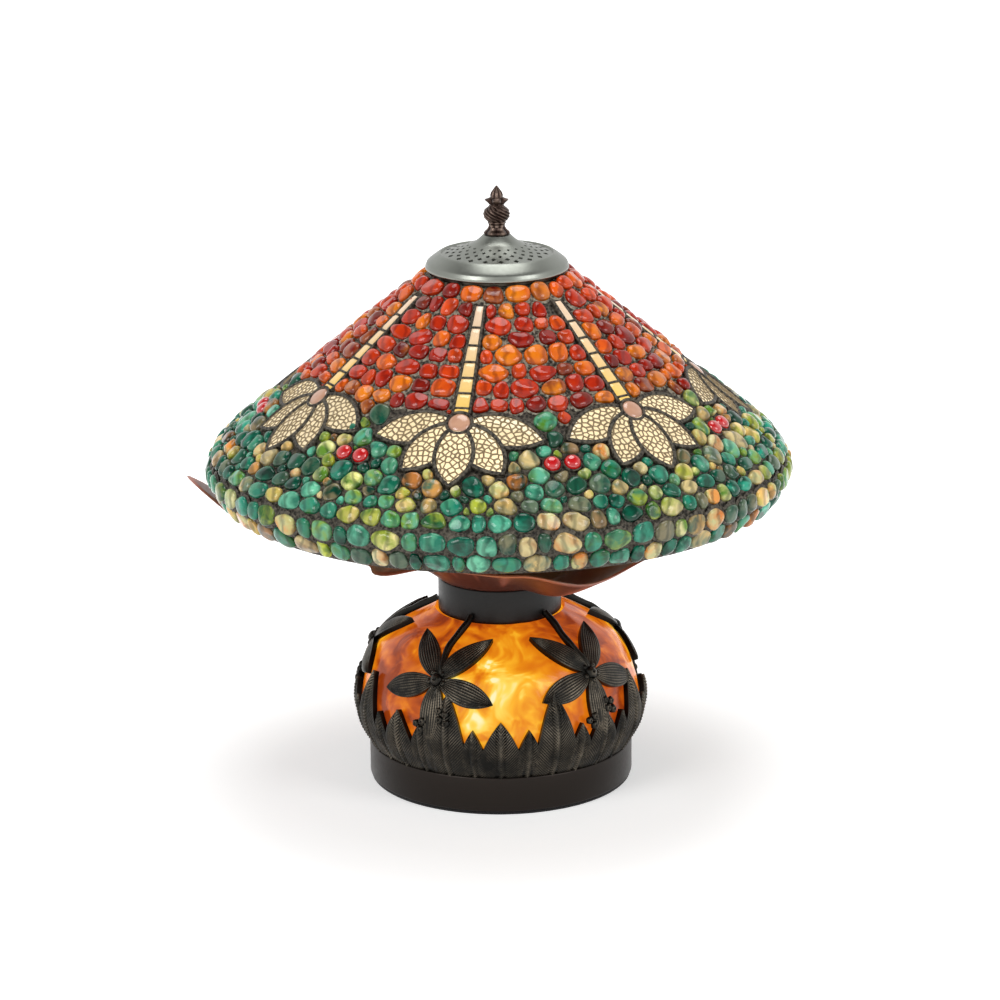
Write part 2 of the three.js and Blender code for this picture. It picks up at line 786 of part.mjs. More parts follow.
// Shade outline: a straight cone that steepens at the widest edge and turns in to the rim
const brimRadius = brimRadiusShare * shadeRadius;
const brimHeight = shadeBottom + brimShare * shadeHeight;
const shadeTop = shadeBottom + shadeHeight;
const shadeProfile = [
  [rimRadius, shadeBottom],
  [shadeRadius, shadeBottom + widestShare * shadeHeight],
  [brimRadius, brimHeight],
  [crownRadius, shadeTop],
];
const bedOffset = -stoneHeight;
const shellOffset = bedOffset - bedThickness - seatGap;
const coneRun = brimRadius - crownRadius;
const coneRise = shadeTop - brimHeight;
const coneTilt = Math.atan2(coneRun, coneRise);

// Height of the cone's stone tops over one radius.
function coneHeight(radius) {
  return brimHeight + (coneRise * (brimRadius - radius)) / coneRun;
}

// Shell: the leaded sheet that stiffens the shade and backs every stone and panel
function shadeShell() {
  const whole = solid(wall(shadeProfile, shellOffset - shellThickness, shellOffset, shadeSides));
  return whole.intersect(solid(disc(shadeRadius, shadeBottom + seatGap, shadeTop, shadeSides)));
}

add("shade_shell", shadeShell(), leadGrey);

// Flower stems: tapered bars of cream glass laid up the cone, one over each flower
const flowerRadius = flowerRadiusShare * brimRadius;
const stemStart = crownRadius + stemHeadroom;
const inlayReach = 8 * inlayThickness;

// A frame sunk under the stone tops, square to the cone.
function coneFrame(azimuth, radius, spin = 0) {
  return surfaceFrame(azimuth, radius, coneHeight(radius), coneTilt, spin, inlayReach / 2);
}

function flowerAzimuth(i) {
  return -quarter + ((i + flowerTurnShare) * turn) / flowerCount;
}

function stemPrism(i, extra) {
  const length = (flowerRadius - stemStart) / Math.sin(coneTilt) + extra;
  const shape = new THREE.Shape();
  shape.moveTo(-stemWide / 2 - extra, 0);
  shape.lineTo(stemWide / 2 + extra, 0);
  shape.lineTo(stemNarrow / 2 + extra, length);
  shape.lineTo(-stemNarrow / 2 - extra, length);
  return prism(shape, inlayReach, coneFrame(flowerAzimuth(i), flowerRadius));
}

// Flower petals: five leaded panels that hang in a fan from the foot of each stem
function fan(i, extra) {
  const pieces = [];
  for (const k of [-2, -1, 0, 1, 2]) {
    const length = Math.abs(k) === 2 ? fanSideLength : fanLength;
    const outline = leafOutline(length + extra, fanWidth + 2 * extra, petalFullness);
    const at = coneFrame(flowerAzimuth(i), flowerRadius, Math.PI + k * fanAngle);
    pieces.push(prism(outline, inlayReach, at, petalSteps));
  }
  const heart = new THREE.Shape().absarc(0, 0, fanHeart + extra, 0, turn);
  pieces.push(prism(heart, inlayReach, coneFrame(flowerAzimuth(i), flowerRadius), petalSteps));
  return union(pieces);
}

const inlayFace = bedOffset + inlayRest;
const inlayLayer = solid(wall(shadeProfile, inlayFace, inlayFace + inlayThickness, shadeSides));

for (let i = 0; i < flowerCount; i++) {
  const stem = inlayLayer.intersect(stemPrism(i, 0)).subtract(fan(i, inlayGap));
  add(`flower_stem_${i + 1}`, stem, creamGlass);
  add(`flower_fan_${i + 1}`, inlayLayer.intersect(fan(i, 0)), creamGlass);
}

// Jewels: a pair of round red glass jewels on a small solder plate in each gap between two flowers
const jewelCircle = jewelCircleShare * brimRadius;

function jewelFrame(i, sideways = 0, sink = 0) {
  const azimuth = flowerAzimuth(i + 0.5);
  const place = surfaceFrame(azimuth, jewelCircle, coneHeight(jewelCircle), coneTilt, 0, sink);
  return place.multiply(new THREE.Matrix4().makeTranslation(sideways, 0, 0));
}

const jewelPlateLayer = solid(wall(shadeProfile, inlayFace, inlayFace + jewelPlateThickness, shadeSides));

function jewelPair(i) {
  const outline = new THREE.Shape();
  outline.absellipse(0, 0, jewelPlateLength / 2, jewelPlateWidth / 2, 0, turn);
  const plate = prism(outline, inlayReach, jewelFrame(i, 0, inlayReach / 2), 2);
  const dome = turned([
    [0, 0],
    [jewelRadius, 0],
    [jewelRadius * 0.9, jewelHeight / 2],
    [0, jewelHeight],
  ], jewelSides);
  const sink = stoneHeight - jewelPlateThickness / 2 - inlayRest;
  let pair = jewelPlateLayer.intersect(plate);
  for (const side of [-1, 1]) {
    const place = jewelFrame(i, (side * jewelSpacing) / 2, sink);
    pair = pair.add(solid(dome.clone().applyMatrix4(place)));
  }
  return pair;
}

for (let i = 0; i < flowerCount; i++) add(`jewel_pair_${i + 1}`, jewelPair(i), redGlass);

// Stone skins: tumbled agates stand in rows on a thin bed of solder, as ridged nuggets. A red
// field runs from the crown to the flowers, and a green border from the flowers to the rim
const rise = stonePitch * Math.sin(coneTilt);
const line = solderLine * Math.sin(coneTilt);
const fieldRadius = crownRadius + line + fieldRows * rise;

// The circle round the shade at a share of the way up one face of its outline.
function faceCircle(face, share) {
  const [r0, z0] = shadeProfile[face];
  const [r1, z1] = shadeProfile[face + 1];
  return {
    radius: r0 + (r1 - r0) * share,
    height: z0 + (z1 - z0) * share,
    tilt: Math.atan2(r0 - r1, z1 - z0),
  };
}

function coneCircle(radius) {
  return { radius, height: coneHeight(radius), tilt: coneTilt };
}

// Points round a circle, sunk below the stone tops. Returns where they begin and how they stand.
function addRing(mesh, circle, sink, count, phase = 0) {
  const first = mesh.position.length / 3;
  const radius = circle.radius - sink * Math.cos(circle.tilt);
  const height = circle.height - sink * Math.sin(circle.tilt);
  for (let k = 0; k < count; k++) {
    const azimuth = ((k + phase) * turn) / count;
    mesh.position.push(radius * Math.cos(azimuth), radius * Math.sin(azimuth), height);
  }
  return { first, count, phase };
}

// Joins two rings that may have different counts, always by the nearer next point.
function stitch(mesh, low, high) {
  let a = 0;
  let b = 0;
  while (a < low.count || b < high.count) {
    const nextLow = (a + 1 + low.phase) / low.count;
    const nextHigh = (b + 1 + high.phase) / high.count;
    const from = low.first + (a % low.count);
    const to = high.first + (b % high.count);
    if (b >= high.count || (a < low.count && nextLow <= nextHigh)) {
      a += 1;
      mesh.index.push(from, low.first + (a % low.count), to);
    } else {
      b += 1;
      mesh.index.push(from, high.first + (b % high.count), to);
    }
  }
}

// One row of cells between two rings. A cell holds a ridged stone or stays flat.
function stoneRow(mesh, low, high, { radius, height, tilt }, row) {
  const { count, phase } = low;
  for (let i = 0; i < count; i++) {
    const next = (i + 1) % count;
    const corners = [low.first + i, low.first + next, high.first + next, high.first + i];
    const [a, b, c, d] = corners;
    const azimuth = ((i + 0.5 + phase) * turn) / count;
    if (!isOpen(azimuth, radius)) {
      mesh.index.push(a, b, c, a, c, d);
      continue;
    }
    const first = mesh.position.length / 3;
    const half = (stoneRidgeShare * Math.PI * radius) / count;
    const skew = stoneVary * half * Math.sin(5.3 * i + 2.7 * row);
    const frame = surfaceFrame(azimuth, radius, height, tilt);
    for (const [x, y] of [[-half, skew], [half, -skew]]) {
      mesh.position.push(...new THREE.Vector3(x, y, 0).applyMatrix4(frame).toArray());
    }
    const [e, f] = [first, first + 1];
    mesh.index.push(a, b, f, a, f, e, c, d, e, c, e, f, d, a, e, b, c, f);
  }
  return [low, high];
}

// Whether a stone fits at a place: clear of every stem, petal and jewel.
function isOpen(azimuth, radius) {
  const half = stonePitch / 2;
  for (let i = 0; i < flowerCount; i++) {
    const away = ((azimuth - flowerAzimuth(i) + 5 * Math.PI) % turn) - Math.PI;
    const x = away * radius;
    const y = (radius - flowerRadius) / Math.sin(coneTilt);
    if (radius > stemStart - half / 2 && y < half && Math.abs(x) < stemWide / 2 + half) return false;
    for (const k of [-2, -1, 0, 1, 2]) {
      const length = Math.abs(k) === 2 ? fanSideLength : fanLength;
      const [across, down] = [Math.sin(k * fanAngle), Math.cos(k * fanAngle)];
      const along = THREE.MathUtils.clamp(x * across + y * down, 0, length);
      const gap = Math.hypot(x - along * across, y - along * down);
      if (gap < petalReach + half) return false;
    }
    const jewelTurn = ((azimuth - flowerAzimuth(i + 0.5) + 5 * Math.PI) % turn) - Math.PI;
    const jewelAway = jewelTurn * radius;
    const jewelDrop = (radius - jewelCircle) / Math.sin(coneTilt);
    const nearX = Math.abs(jewelAway) < jewelPlateLength / 2 + half;
    if (nearX && Math.abs(jewelDrop) < jewelPlateWidth / 2 + half) return false;
  }
  return true;
}

// Closes a skin: rings up the front, then the plain back rings down to where it began.
function closeSkin(mesh, rows, backCircles) {
  for (let k = 0; k + 1 < rows.length; k++) stitch(mesh, rows[k][1], rows[k + 1][0]);
  const back = backCircles.map(([radius, height]) => {
    return addRing(mesh, { radius, height, tilt: 0 }, 0, shadeSides, (shadeSides / 4) % 1);
  });
  stitch(mesh, rows[rows.length - 1][1], back[0]);
  for (let k = 0; k + 1 < back.length; k++) stitch(mesh, back[k], back[k + 1]);
  stitch(mesh, back[back.length - 1], rows[0][0]);
  const geometry = new THREE.BufferGeometry();
  geometry.setAttribute("position", new THREE.Float32BufferAttribute(mesh.position, 3));
  geometry.setIndex(mesh.index);
  return solid(geometry);
}

// A point of the bed's back under a circle of the outline.
function backPoint({ radius, height, tilt }) {
  const depth = stoneHeight + bedThickness;
  return [radius - depth * Math.cos(tilt), height - depth * Math.sin(tilt)];
}

// A row of stones on the cone, between two radii.
function coneRow(mesh, outer, inner, count, row) {
  const phase = (row % 2) / 2;
  const low = addRing(mesh, coneCircle(outer), stoneHeight, count, phase);
  const high = addRing(mesh, coneCircle(inner), stoneHeight, count, phase);
  return stoneRow(mesh, low, high, coneCircle((outer + inner) / 2), row);
}

function redField() {
  const mesh = { position: [], index: [] };
  const rows = [];
  for (let row = 0; row < fieldRows; row++) {
    const radius = fieldRadius - row * rise;
    const stones = Math.round((turn * (radius - rise / 2)) / stonePitch);
    rows.push(coneRow(mesh, radius, radius - rise + line, stones, row));
  }
  const top = coneCircle(crownRadius + 2 * line);
  return closeSkin(mesh, rows, [backPoint(top), backPoint(coneCircle(fieldRadius))]);
}

function greenBorder() {
  const mesh = { position: [], index: [] };
  const [, , brim] = offset(shadeProfile, bedOffset);
  const widest = { radius: shadeRadius, height: shadeProfile[1][1], tilt: 0 };
  const rings = [
    addRing(mesh, faceCircle(0, rimShare), stoneHeight, rimRowCount),
    addRing(mesh, widest, 0, rimRowCount),
    addRing(mesh, { radius: brim[0], height: brim[1], tilt: 0 }, 0, rimRowCount),
    addRing(mesh, coneCircle(brimRadius - rise), stoneHeight, rimRowCount),
  ];
  stoneRow(mesh, rings[0], rings[1], faceCircle(0, 0.5), 0);
  stoneRow(mesh, rings[1], rings[2], faceCircle(1, 0.5), 1);
  stoneRow(mesh, rings[2], rings[3], coneCircle(brimRadius - rise / 2), 2);
  const rows = [[rings[0], rings[3]]];
  const gapOuter = brimRadius - rise - line;
  rows.push(coneRow(mesh, gapOuter, gapOuter - rise + line, gapRowCount, 1));
  const high = coneCircle(fieldRadius + line);
  const edge = addRing(mesh, high, stoneHeight, shadeSides, (shadeSides / 4) % 1);
  rows.push([edge, edge]);
  const corners = offset(shadeProfile, bedOffset - bedThickness);
  const back = [backPoint(high), corners[2], corners[1], backPoint(faceCircle(0, rimShare))];
  return closeSkin(mesh, rows, back);
}

add("red_stone_field", redField(), redAgate);
add("green_stone_border", greenBorder(), greenAgate);

// Rim bead: a soldered channel that the lower edge of the shell stands in
const shellEdge = offset(shadeProfile, shellOffset - shellThickness / 2)[0];
const [apronRun, apronRise] = [shadeProfile[1][0] - rimRadius, shadeProfile[1][1] - shadeBottom];
const beadDrop = (beadRadius + seatGap) / Math.hypot(apronRun, apronRise);
const beadCircle = shellEdge[0] - beadDrop * apronRun;
const bead = new THREE.TorusGeometry(beadCircle, beadRadius, beadSides, shadeSides);
bead.rotateZ(quarter).translate(0, 0, shellEdge[1] - beadDrop * apronRise);
add("rim_bead", bead, leadGrey);

// Top ring: the brass ring that closes the crown of the shade, with a lip for the heat cap
const shellCrown = offset(shadeProfile, shellOffset - shellThickness)[3];
const bedCrown = offset(shadeProfile, bedOffset)[3];
const topRingOuter = shellCrown[0] - seatGap;
const topRingInner = topRingOuter - topRingWidth;
const lipBottom = bedCrown[1] + seatGap;
const lipTop = lipBottom + lipThickness;
const ledgeTop = lipTop - topRingDepth + lipThickness;

const topRing = turned([
  [topRingInner - ledgeWidth, lipTop - topRingDepth],
  [topRingOuter, lipTop - topRingDepth],
  [topRingOuter, lipBottom],
  [topRingOuter + lipOverhang, lipBottom],
  [topRingOuter + lipOverhang, lipTop],
  [topRingInner, lipTop],
  [topRingInner, ledgeTop],
  [topRingInner - ledgeWidth, ledgeTop],
], midSides);
add("shade_top_ring", topRing, brass);

// Spider: four arms on a drilled hub, lying on the ledge of the top ring
const rodHole = rodRadius + slideGap;
const spiderBottom = ledgeTop + seatGap;
const spiderTop = spiderBottom + spiderThickness;

function spider() {
  let body = solid(disc(spiderHubRadius, spiderBottom, spiderTop, smallSides));
  const flat = topRingInner * Math.cos(Math.PI / midSides);
  const reach = Math.sqrt(flat ** 2 - (spiderArmWidth / 2) ** 2) - seatGap;
  for (let i = 0; i < spiderArms; i++) {
    const arm = new THREE.BoxGeometry(reach, spiderArmWidth, spiderThickness);
    arm.translate(reach / 2, 0, (spiderBottom + spiderTop) / 2);
    body = body.add(solid(arm.rotateZ((i + 0.5) * (turn / spiderArms))));
  }
  const hole = disc(rodHole, spiderBottom - cutOverrun, spiderTop + cutOverrun, smallSides);
  return body.subtract(solid(hole));
}

add("shade_spider", spider(), brass);

// Rod and seat nut: the rod rises from the cluster, and its nut carries the hub of the spider
const seatNutTop = spiderBottom - seatGap;
const finialSeat = lipTop + coverRise;
const rodTop = finialSeat + finialBoreDepth - seatGap;

function shadeRod() {
  const rod = solid(disc(rodRadius, clusterTop - rodSeatDepth + seatGap, rodTop, smallSides));
  return rod.add(solid(disc(seatNutAcross, seatNutTop - seatNutHeight, seatNutTop, 6)));
}

add("shade_rod", shadeRod(), brass);

// Heat cap: a spun pewter cover on the top ring, concave to its seat and pierced to let heat out
const coverBottom = lipTop + seatGap;
const foldHeight = lipTop + foldRise;
const throatHeight = lipTop + throatRise;

const coverOuter = [
  [coverRadius - coverHem, coverBottom],
  [coverRadius, coverBottom + coverHem],
  [coverRadius - coverHem, coverBottom + 3 * coverHem],
  [foldRadius + coverHem, foldHeight + coverHem / 2],
  [foldRadius, foldHeight],
  [throatRadius, throatHeight],
  [(throatRadius + coverSeatRadius) / 2, (throatHeight + finialSeat) / 2 - coverWall / 2],
  [coverSeatRadius, finialSeat],
];

function heatCap() {
  const inner = offset(coverOuter, -coverWall);
  const profile = [
    ...coverOuter,
    [rodHole, finialSeat],
    [rodHole, finialSeat - coverWall],
    inner[5],
    inner[4],
    inner[2],
    [coverRadius - coverWall, coverBottom + coverHem],
    [coverRadius - coverHem - coverWall, coverBottom],
  ];
  const holes = [];
  for (let row = 0; row < pierceRows; row++) {
    const radius = pierceFirst + ((pierceLast - pierceFirst) * row) / (pierceRows - 1);
    for (let i = 0; i < piercesPerRow; i++) {
      const hole = disc(radius * pierceShare, foldHeight - cutOverrun, finialSeat + cutOverrun, 4);
      hole.translate(radius, 0, 0).rotateZ(((i + 0.25 + (row % 2) / 2) * turn) / piercesPerRow);
      holes.push(solid(hole));
    }
  }
  return solid(turned(profile, 2 * piercesPerRow)).subtract(union(holes));
}

add("heat_cap", heatCap(), pewter);

// Finial: a cast bud over curled leaves and a ribbed ball, screwed on the rod by hand
const finialBottom = finialSeat + seatGap;

function finial() {
  const position = [];
  const index = [];
  for (const { r, h, lobes, depth } of finialShape) {
    for (let k = 0; k < finialSides; k++) {
      const angle = (k * turn) / finialSides;
      const radius = r * (1 + depth * Math.cos(lobes * angle));
      position.push(radius * Math.cos(angle), radius * Math.sin(angle), finialBottom + h * finialHeight);
    }
  }
  for (let row = 0; row + 1 < finialShape.length; row++) {
    for (let k = 0; k < finialSides; k++) {
      const a = row * finialSides + k;
      const b = row * finialSides + ((k + 1) % finialSides);
      index.push(a, b, b + finialSides, a, b + finialSides, a + finialSides);
    }
  }
  const bottom = position.length / 3;
  position.push(0, 0, finialBottom, 0, 0, finialBottom + finialHeight);
  const last = (finialShape.length - 1) * finialSides;
  for (let k = 0; k < finialSides; k++) {
    const next = (k + 1) % finialSides;
    index.push(bottom, next, k, last + k, last + next, bottom + 1);
  }
  const geometry = new THREE.BufferGeometry();
  geometry.setAttribute("position", new THREE.Float32BufferAttribute(position, 3));
  geometry.setIndex(index);
  const boreTop = finialSeat + finialBoreDepth;
  const bore = disc(rodRadius + pipeClearance, finialBottom - cutOverrun, boreTop, smallSides);
  return solid(geometry).subtract(solid(bore));
}

add("finial", finial(), agedBronze);

export default lamp;
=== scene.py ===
import math
import random

import bmesh
import bpy
from mathutils import Matrix, Vector, geometry, noise


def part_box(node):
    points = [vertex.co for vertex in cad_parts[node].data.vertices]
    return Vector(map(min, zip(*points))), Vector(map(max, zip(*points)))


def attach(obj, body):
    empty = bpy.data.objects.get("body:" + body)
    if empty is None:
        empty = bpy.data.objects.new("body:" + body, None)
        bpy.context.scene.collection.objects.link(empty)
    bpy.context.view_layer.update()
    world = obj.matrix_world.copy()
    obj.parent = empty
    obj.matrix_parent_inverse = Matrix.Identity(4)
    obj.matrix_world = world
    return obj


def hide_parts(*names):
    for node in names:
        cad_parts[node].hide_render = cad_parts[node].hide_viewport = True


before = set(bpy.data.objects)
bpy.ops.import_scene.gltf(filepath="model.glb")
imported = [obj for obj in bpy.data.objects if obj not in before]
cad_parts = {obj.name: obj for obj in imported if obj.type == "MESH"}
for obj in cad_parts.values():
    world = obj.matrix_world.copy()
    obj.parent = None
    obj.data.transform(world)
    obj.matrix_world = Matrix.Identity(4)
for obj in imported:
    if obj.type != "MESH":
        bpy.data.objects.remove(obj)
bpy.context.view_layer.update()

# The camera stands where the photographer stood: a long lens, some 2.8 m from the lamp and about
# half a metre above its finial, tipped down and leaning by half a degree.
mm = 0.001
camera_back = 2597.3 * mm
camera_up = 962.2 * mm
camera_aside = 0.7 * mm
camera_dip = math.radians(16.32)
camera_lean = math.radians(-0.46)

camera = bpy.data.objects.new("camera", bpy.data.cameras.new("camera"))
camera.data.sensor_width = 36
camera.data.lens = 137.9
camera.matrix_world = (
    Matrix.Translation((camera_aside, -camera_back, camera_up))
    @ Matrix.Rotation(math.pi / 2 - camera_dip, 4, "X")
    @ Matrix.Rotation(camera_lean, 4, "Z")
)
bpy.context.scene.collection.objects.link(camera)
bpy.context.scene.camera = camera

# The studio: a white floor and a white surround, lit by three large soft lamps. The floor and the
# surround look white to the camera and in reflections, and light the lamp no more than a grey wall.
# The ceiling is dark, so that what faces up shows the soft lamps in it and keeps its own colour.
floor_reach = 9
floor_glow = 0.42
floor_fade = (0.16, 0.62)
surround_strength = 0.42
ceiling_shade = 0.12
ceiling_fade = (0.6, 0.9)
softbox_aim = Vector((0, 0, 0.2))
softboxes = [
    ("softbox_left", (-1.5, -1.7, 1.7), 1.3, 26),
    ("softbox_right", (1.7, -1.3, 1.3), 1.1, 15),
    ("softbox_above", (0.1, 0.5, 2.3), 1.4, 20),
]


def put(tree, kind, values=None, **settings):
    """A node with its settings. values fills its sockets with numbers, or with other nodes' outputs."""
    made = tree.nodes.new(kind)
    for setting, value in settings.items():
        setattr(made, setting, value)
    for socket, value in (values or {}).items():
        if isinstance(value, bpy.types.NodeSocket):
            tree.links.new(value, made.inputs[socket])
        else:
            made.inputs[socket].default_value = value
    return made


def calc(tree, operation, first, second, **settings):
    """What a sum makes of two numbers or outputs."""
    return put(tree, "ShaderNodeMath", {0: first, 1: second}, operation=operation, **settings).outputs[0]


def ranged(tree, value, low, high, low_made=0.0, high_made=1.0):
    """A value drawn from one range onto another, and held inside it."""
    return put(tree, "ShaderNodeMapRange", {"Value": value, "From Min": low, "From Max": high,
                                            "To Min": low_made, "To Max": high_made}).outputs[0]


def length_of(tree, vector):
    return put(tree, "ShaderNodeVectorMath", {0: vector}, operation="LENGTH").outputs["Value"]


def axes_of(tree, vector):
    return put(tree, "ShaderNodeSeparateXYZ", {"Vector": vector}).outputs


def object_place(tree):
    """Where a point lies in its piece, the same at every pose."""
    return put(tree, "ShaderNodeTexCoord").outputs["Object"]


def wire_up(tree, node, **outputs):
    """Leads each output to the node's input of the same name."""
    for socket, output in outputs.items():
        tree.links.new(output, node.inputs[socket.replace("_", " ")])


def tone(red, green, blue):
    """A colour given as it looks on a screen, from 0 to 255, as the light that it is."""
    shares = [channel / 255 for channel in (red, green, blue)]
    return (*[s / 12.92 if s < 0.04045 else ((s + 0.055) / 1.055) ** 2.4 for s in shares], 1)


def finish(name, **values):
    """A new material, its node tree and its surface shader, with the shader's plain values set."""
    made = bpy.data.materials.new(name)
    made.use_nodes = True
    surface = made.node_tree.nodes["Principled BSDF"]
    for socket, value in values.items():
        surface.inputs[socket.replace("_", " ")].default_value = value
    return made, made.node_tree, surface


def seen_directly(tree):
    """1 for what the camera, a mirror or clear glass sees, and 0 for what lights other things."""
    path = put(tree, "ShaderNodeLightPath").outputs
    shiny = calc(tree, "MAXIMUM", path["Is Glossy Ray"], path["Is Transmission Ray"])
    return calc(tree, "MAXIMUM", path["Is Camera Ray"], shiny)


def white_surround():
    world = bpy.data.worlds.new("surround")
    world.use_nodes = True
    tree = world.node_tree
    seen = ranged(tree, seen_directly(tree), 0, 1, surround_strength, 1)
    up = axes_of(tree, put(tree, "ShaderNodeTexCoord").outputs["Generated"])["Z"]
    ceiling = ranged(tree, up, *ceiling_fade, 1, ceiling_shade)
    background = tree.nodes["Background"]
    background.inputs["Color"].default_value = (1, 1, 1, 1)
    wire_up(tree, background, Strength=calc(tree, "MULTIPLY", seen, ceiling))
    bpy.context.scene.world = world


def white_floor():
    mesh = bpy.data.meshes.new("floor")
    corners = [(x * floor_reach, y * floor_reach, 0) for x, y in ((-1, -1), (1, -1), (1, 1), (-1, 1))]
    mesh.from_pydata(corners, [], [(0, 1, 2, 3)])
    floor = bpy.data.objects.new("floor", mesh)
    bpy.context.scene.collection.objects.link(floor)
    paint, tree, surface = finish("floor_paint", Base_Color=tone(238, 238, 238), Roughness=0.9,
                                  Specular_IOR_Level=0.1, Emission_Color=(1, 1, 1, 1))
    glow = ranged(tree, length_of(tree, object_place(tree)), *floor_fade, floor_glow, 1)
    wire_up(tree, surface, Emission_Strength=calc(tree, "MULTIPLY", seen_directly(tree), glow))
    mesh.materials.append(paint)


def hang_softbox(name, place, width, watts):
    light = bpy.data.lights.new(name, "AREA")
    light.shape = "DISK"
    light.size = width
    light.energy = watts
    held = bpy.data.objects.new(name, light)
    held.location = place
    aim = softbox_aim - Vector(place)
    held.rotation_euler = aim.to_track_quat("-Z", "Y").to_euler()
    bpy.context.scene.collection.objects.link(held)


bpy.context.scene.view_settings.view_transform = "Standard"
white_surround()
white_floor()
for softbox in softboxes:
    hang_softbox(*softbox)

# The foot is a spun steel drum, open below, with a small rolled edge round its top. It is finished in a very
# dark brown bronze paint.
turn = 2 * math.pi


def box_of(node):
    """The low and the high corner of a CAD node's box, in millimetres."""
    return [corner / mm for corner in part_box(node)]


foot_low, foot_high = box_of("foot_shell")
foot_radius = foot_high.x
foot_wall = 3.2
foot_edge = 1.3
pipe_hole = 5.3
weld_gap = 0.004


def build(name, points, faces, facts=None, crease=40):
    """A mesh object from points in millimetres. facts are values kept at each point for its material."""
    mesh = bpy.data.meshes.new(name)
    mesh.from_pydata([tuple(c * mm for c in point) for point in points], [], faces)
    for fact, values in (facts or {}).items():
        if isinstance(values[0], (int, float)):
            mesh.attributes.new(fact, "FLOAT", "POINT").data.foreach_set("value", values)
        else:
            flat = [c for value in values for c in value]
            mesh.attributes.new(fact, "FLOAT_VECTOR", "POINT").data.foreach_set("vector", flat)
    work = bmesh.new()
    work.from_mesh(mesh)
    bmesh.ops.remove_doubles(work, verts=work.verts, dist=weld_gap * mm)
    bmesh.ops.recalc_face_normals(work, faces=work.faces)
    work.to_mesh(mesh)
    work.free()
    mesh.shade_smooth()
    mesh.set_sharp_from_angle(angle=math.radians(crease))
    made = bpy.data.objects.new(name, mesh)
    bpy.context.scene.collection.objects.link(made)
    return made


def rounded(section, radius, steps=3):
    """A closed section of (radius, height) pairs with each corner eased into a small curve."""
    eased = []
    for i, corner in enumerate(section):
        corner = Vector(corner)
        before = Vector(section[i - 1]) - corner
        after = Vector(section[(i + 1) % len(section)]) - corner
        cut = min(radius, before.length / 2.2, after.length / 2.2)
        start = corner + before.normalized() * cut
        end = corner + after.normalized() * cut
        for step in range(steps + 1):
            share = step / steps
            eased.append(tuple((1 - share) ** 2 * start + 2 * share * (1 - share) * corner + share**2 * end))
    return eased


def polar(radius, azimuth, height):
    """A point at a distance from the lamp's axis, an azimuth and a height."""
    return radius * math.cos(azimuth), radius * math.sin(azimuth), height


def tube_faces(rings, count, first=0, closed=True):
    """Faces round a bent tube, from each ring of points to the next, and from the last to the first."""
    faces = []
    for i in range(rings if closed else rings - 1):
        a, b = first + i * count, first + (i + 1) % rings * count
        faces += [(a + k, b + k, b + (k + 1) % count, a + (k + 1) % count) for k in range(count)]
    return faces


def drum_faces(rings, sides, first=0):
    """Faces up a drum that is open at both ends, from each ring of points to the one above it."""
    faces = []
    for j in range(rings - 1):
        for i in range(sides):
            a, b = first + j * sides + i, first + j * sides + (i + 1) % sides
            faces.append((a, b, b + sides, a + sides))
    return faces


def dome_faces(rings, sides, first=0):
    """Faces of a drum that is closed at the foot and drawn in to one point, the next one, at the top."""
    last, tip = first + (rings - 1) * sides, first + rings * sides
    faces = drum_faces(rings, sides, first)
    faces += [(last + i, last + (i + 1) % sides, tip) for i in range(sides)]
    return [*faces, tuple(range(first, first + sides))]


def turned(name, section, sides=96, crease=40):
    """A closed section of (radius, height) pairs turned round the lamp's axis."""
    points = [polar(r, turn * i / sides, z) for i in range(sides) for r, z in section]
    return build(name, points, tube_faces(sides, len(section)), crease=crease)


def fit(piece, skin, body, slot, *nodes):
    """Gives a piece its finish, and hangs it on a body in place of the plain CAD nodes."""
    piece.data.materials.append(skin)
    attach(piece, body)
    if nodes:
        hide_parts(*nodes)


def group(name, inputs, outputs):
    """An empty shader node group with float, colour (4 numbers) and vector (3 numbers) inputs."""
    tree = bpy.data.node_groups.new(name, "ShaderNodeTree")
    for label, value in inputs.items():
        size = len(value) if isinstance(value, tuple) else 1
        kind = {1: "NodeSocketFloat", 3: "NodeSocketVector", 4: "NodeSocketColor"}[size]
        tree.interface.new_socket(label, in_out="INPUT", socket_type=kind).default_value = value
    for label, kind in outputs.items():
        tree.interface.new_socket(label, in_out="OUTPUT", socket_type="NodeSocket" + kind)
    return tree, tree.nodes.new("NodeGroupInput").outputs, tree.nodes.new("NodeGroupOutput")


def vector_calc(tree, operation, vector, other):
    """What a sum makes of a vector or colour, and of another or of a number that scales it."""
    socket = "Scale" if operation == "SCALE" else 1
    return put(tree, "ShaderNodeVectorMath", {0: vector, socket: other}, operation=operation).outputs[0]


def mixed(tree, share, first, second):
    """A colour on its way from the first to the second."""
    return put(tree, "ShaderNodeMix", {0: share, 6: first, 7: second}, data_type="RGBA").outputs[2]


def clouds(tree, place, scale, detail=2.0, **values):
    """Soft noise in three dimensions."""
    values = {"Vector": place, "Scale": scale, "Detail": detail, **values}
    return put(tree, "ShaderNodeTexNoise", values).outputs


def bump(tree, height, strength, depth, **settings):
    """A normal tilted by a height, as if it were so many millimetres deep."""
    return put(tree, "ShaderNodeBump", {"Height": height, "Strength": strength, "Distance": depth * mm},
               **settings).outputs[0]


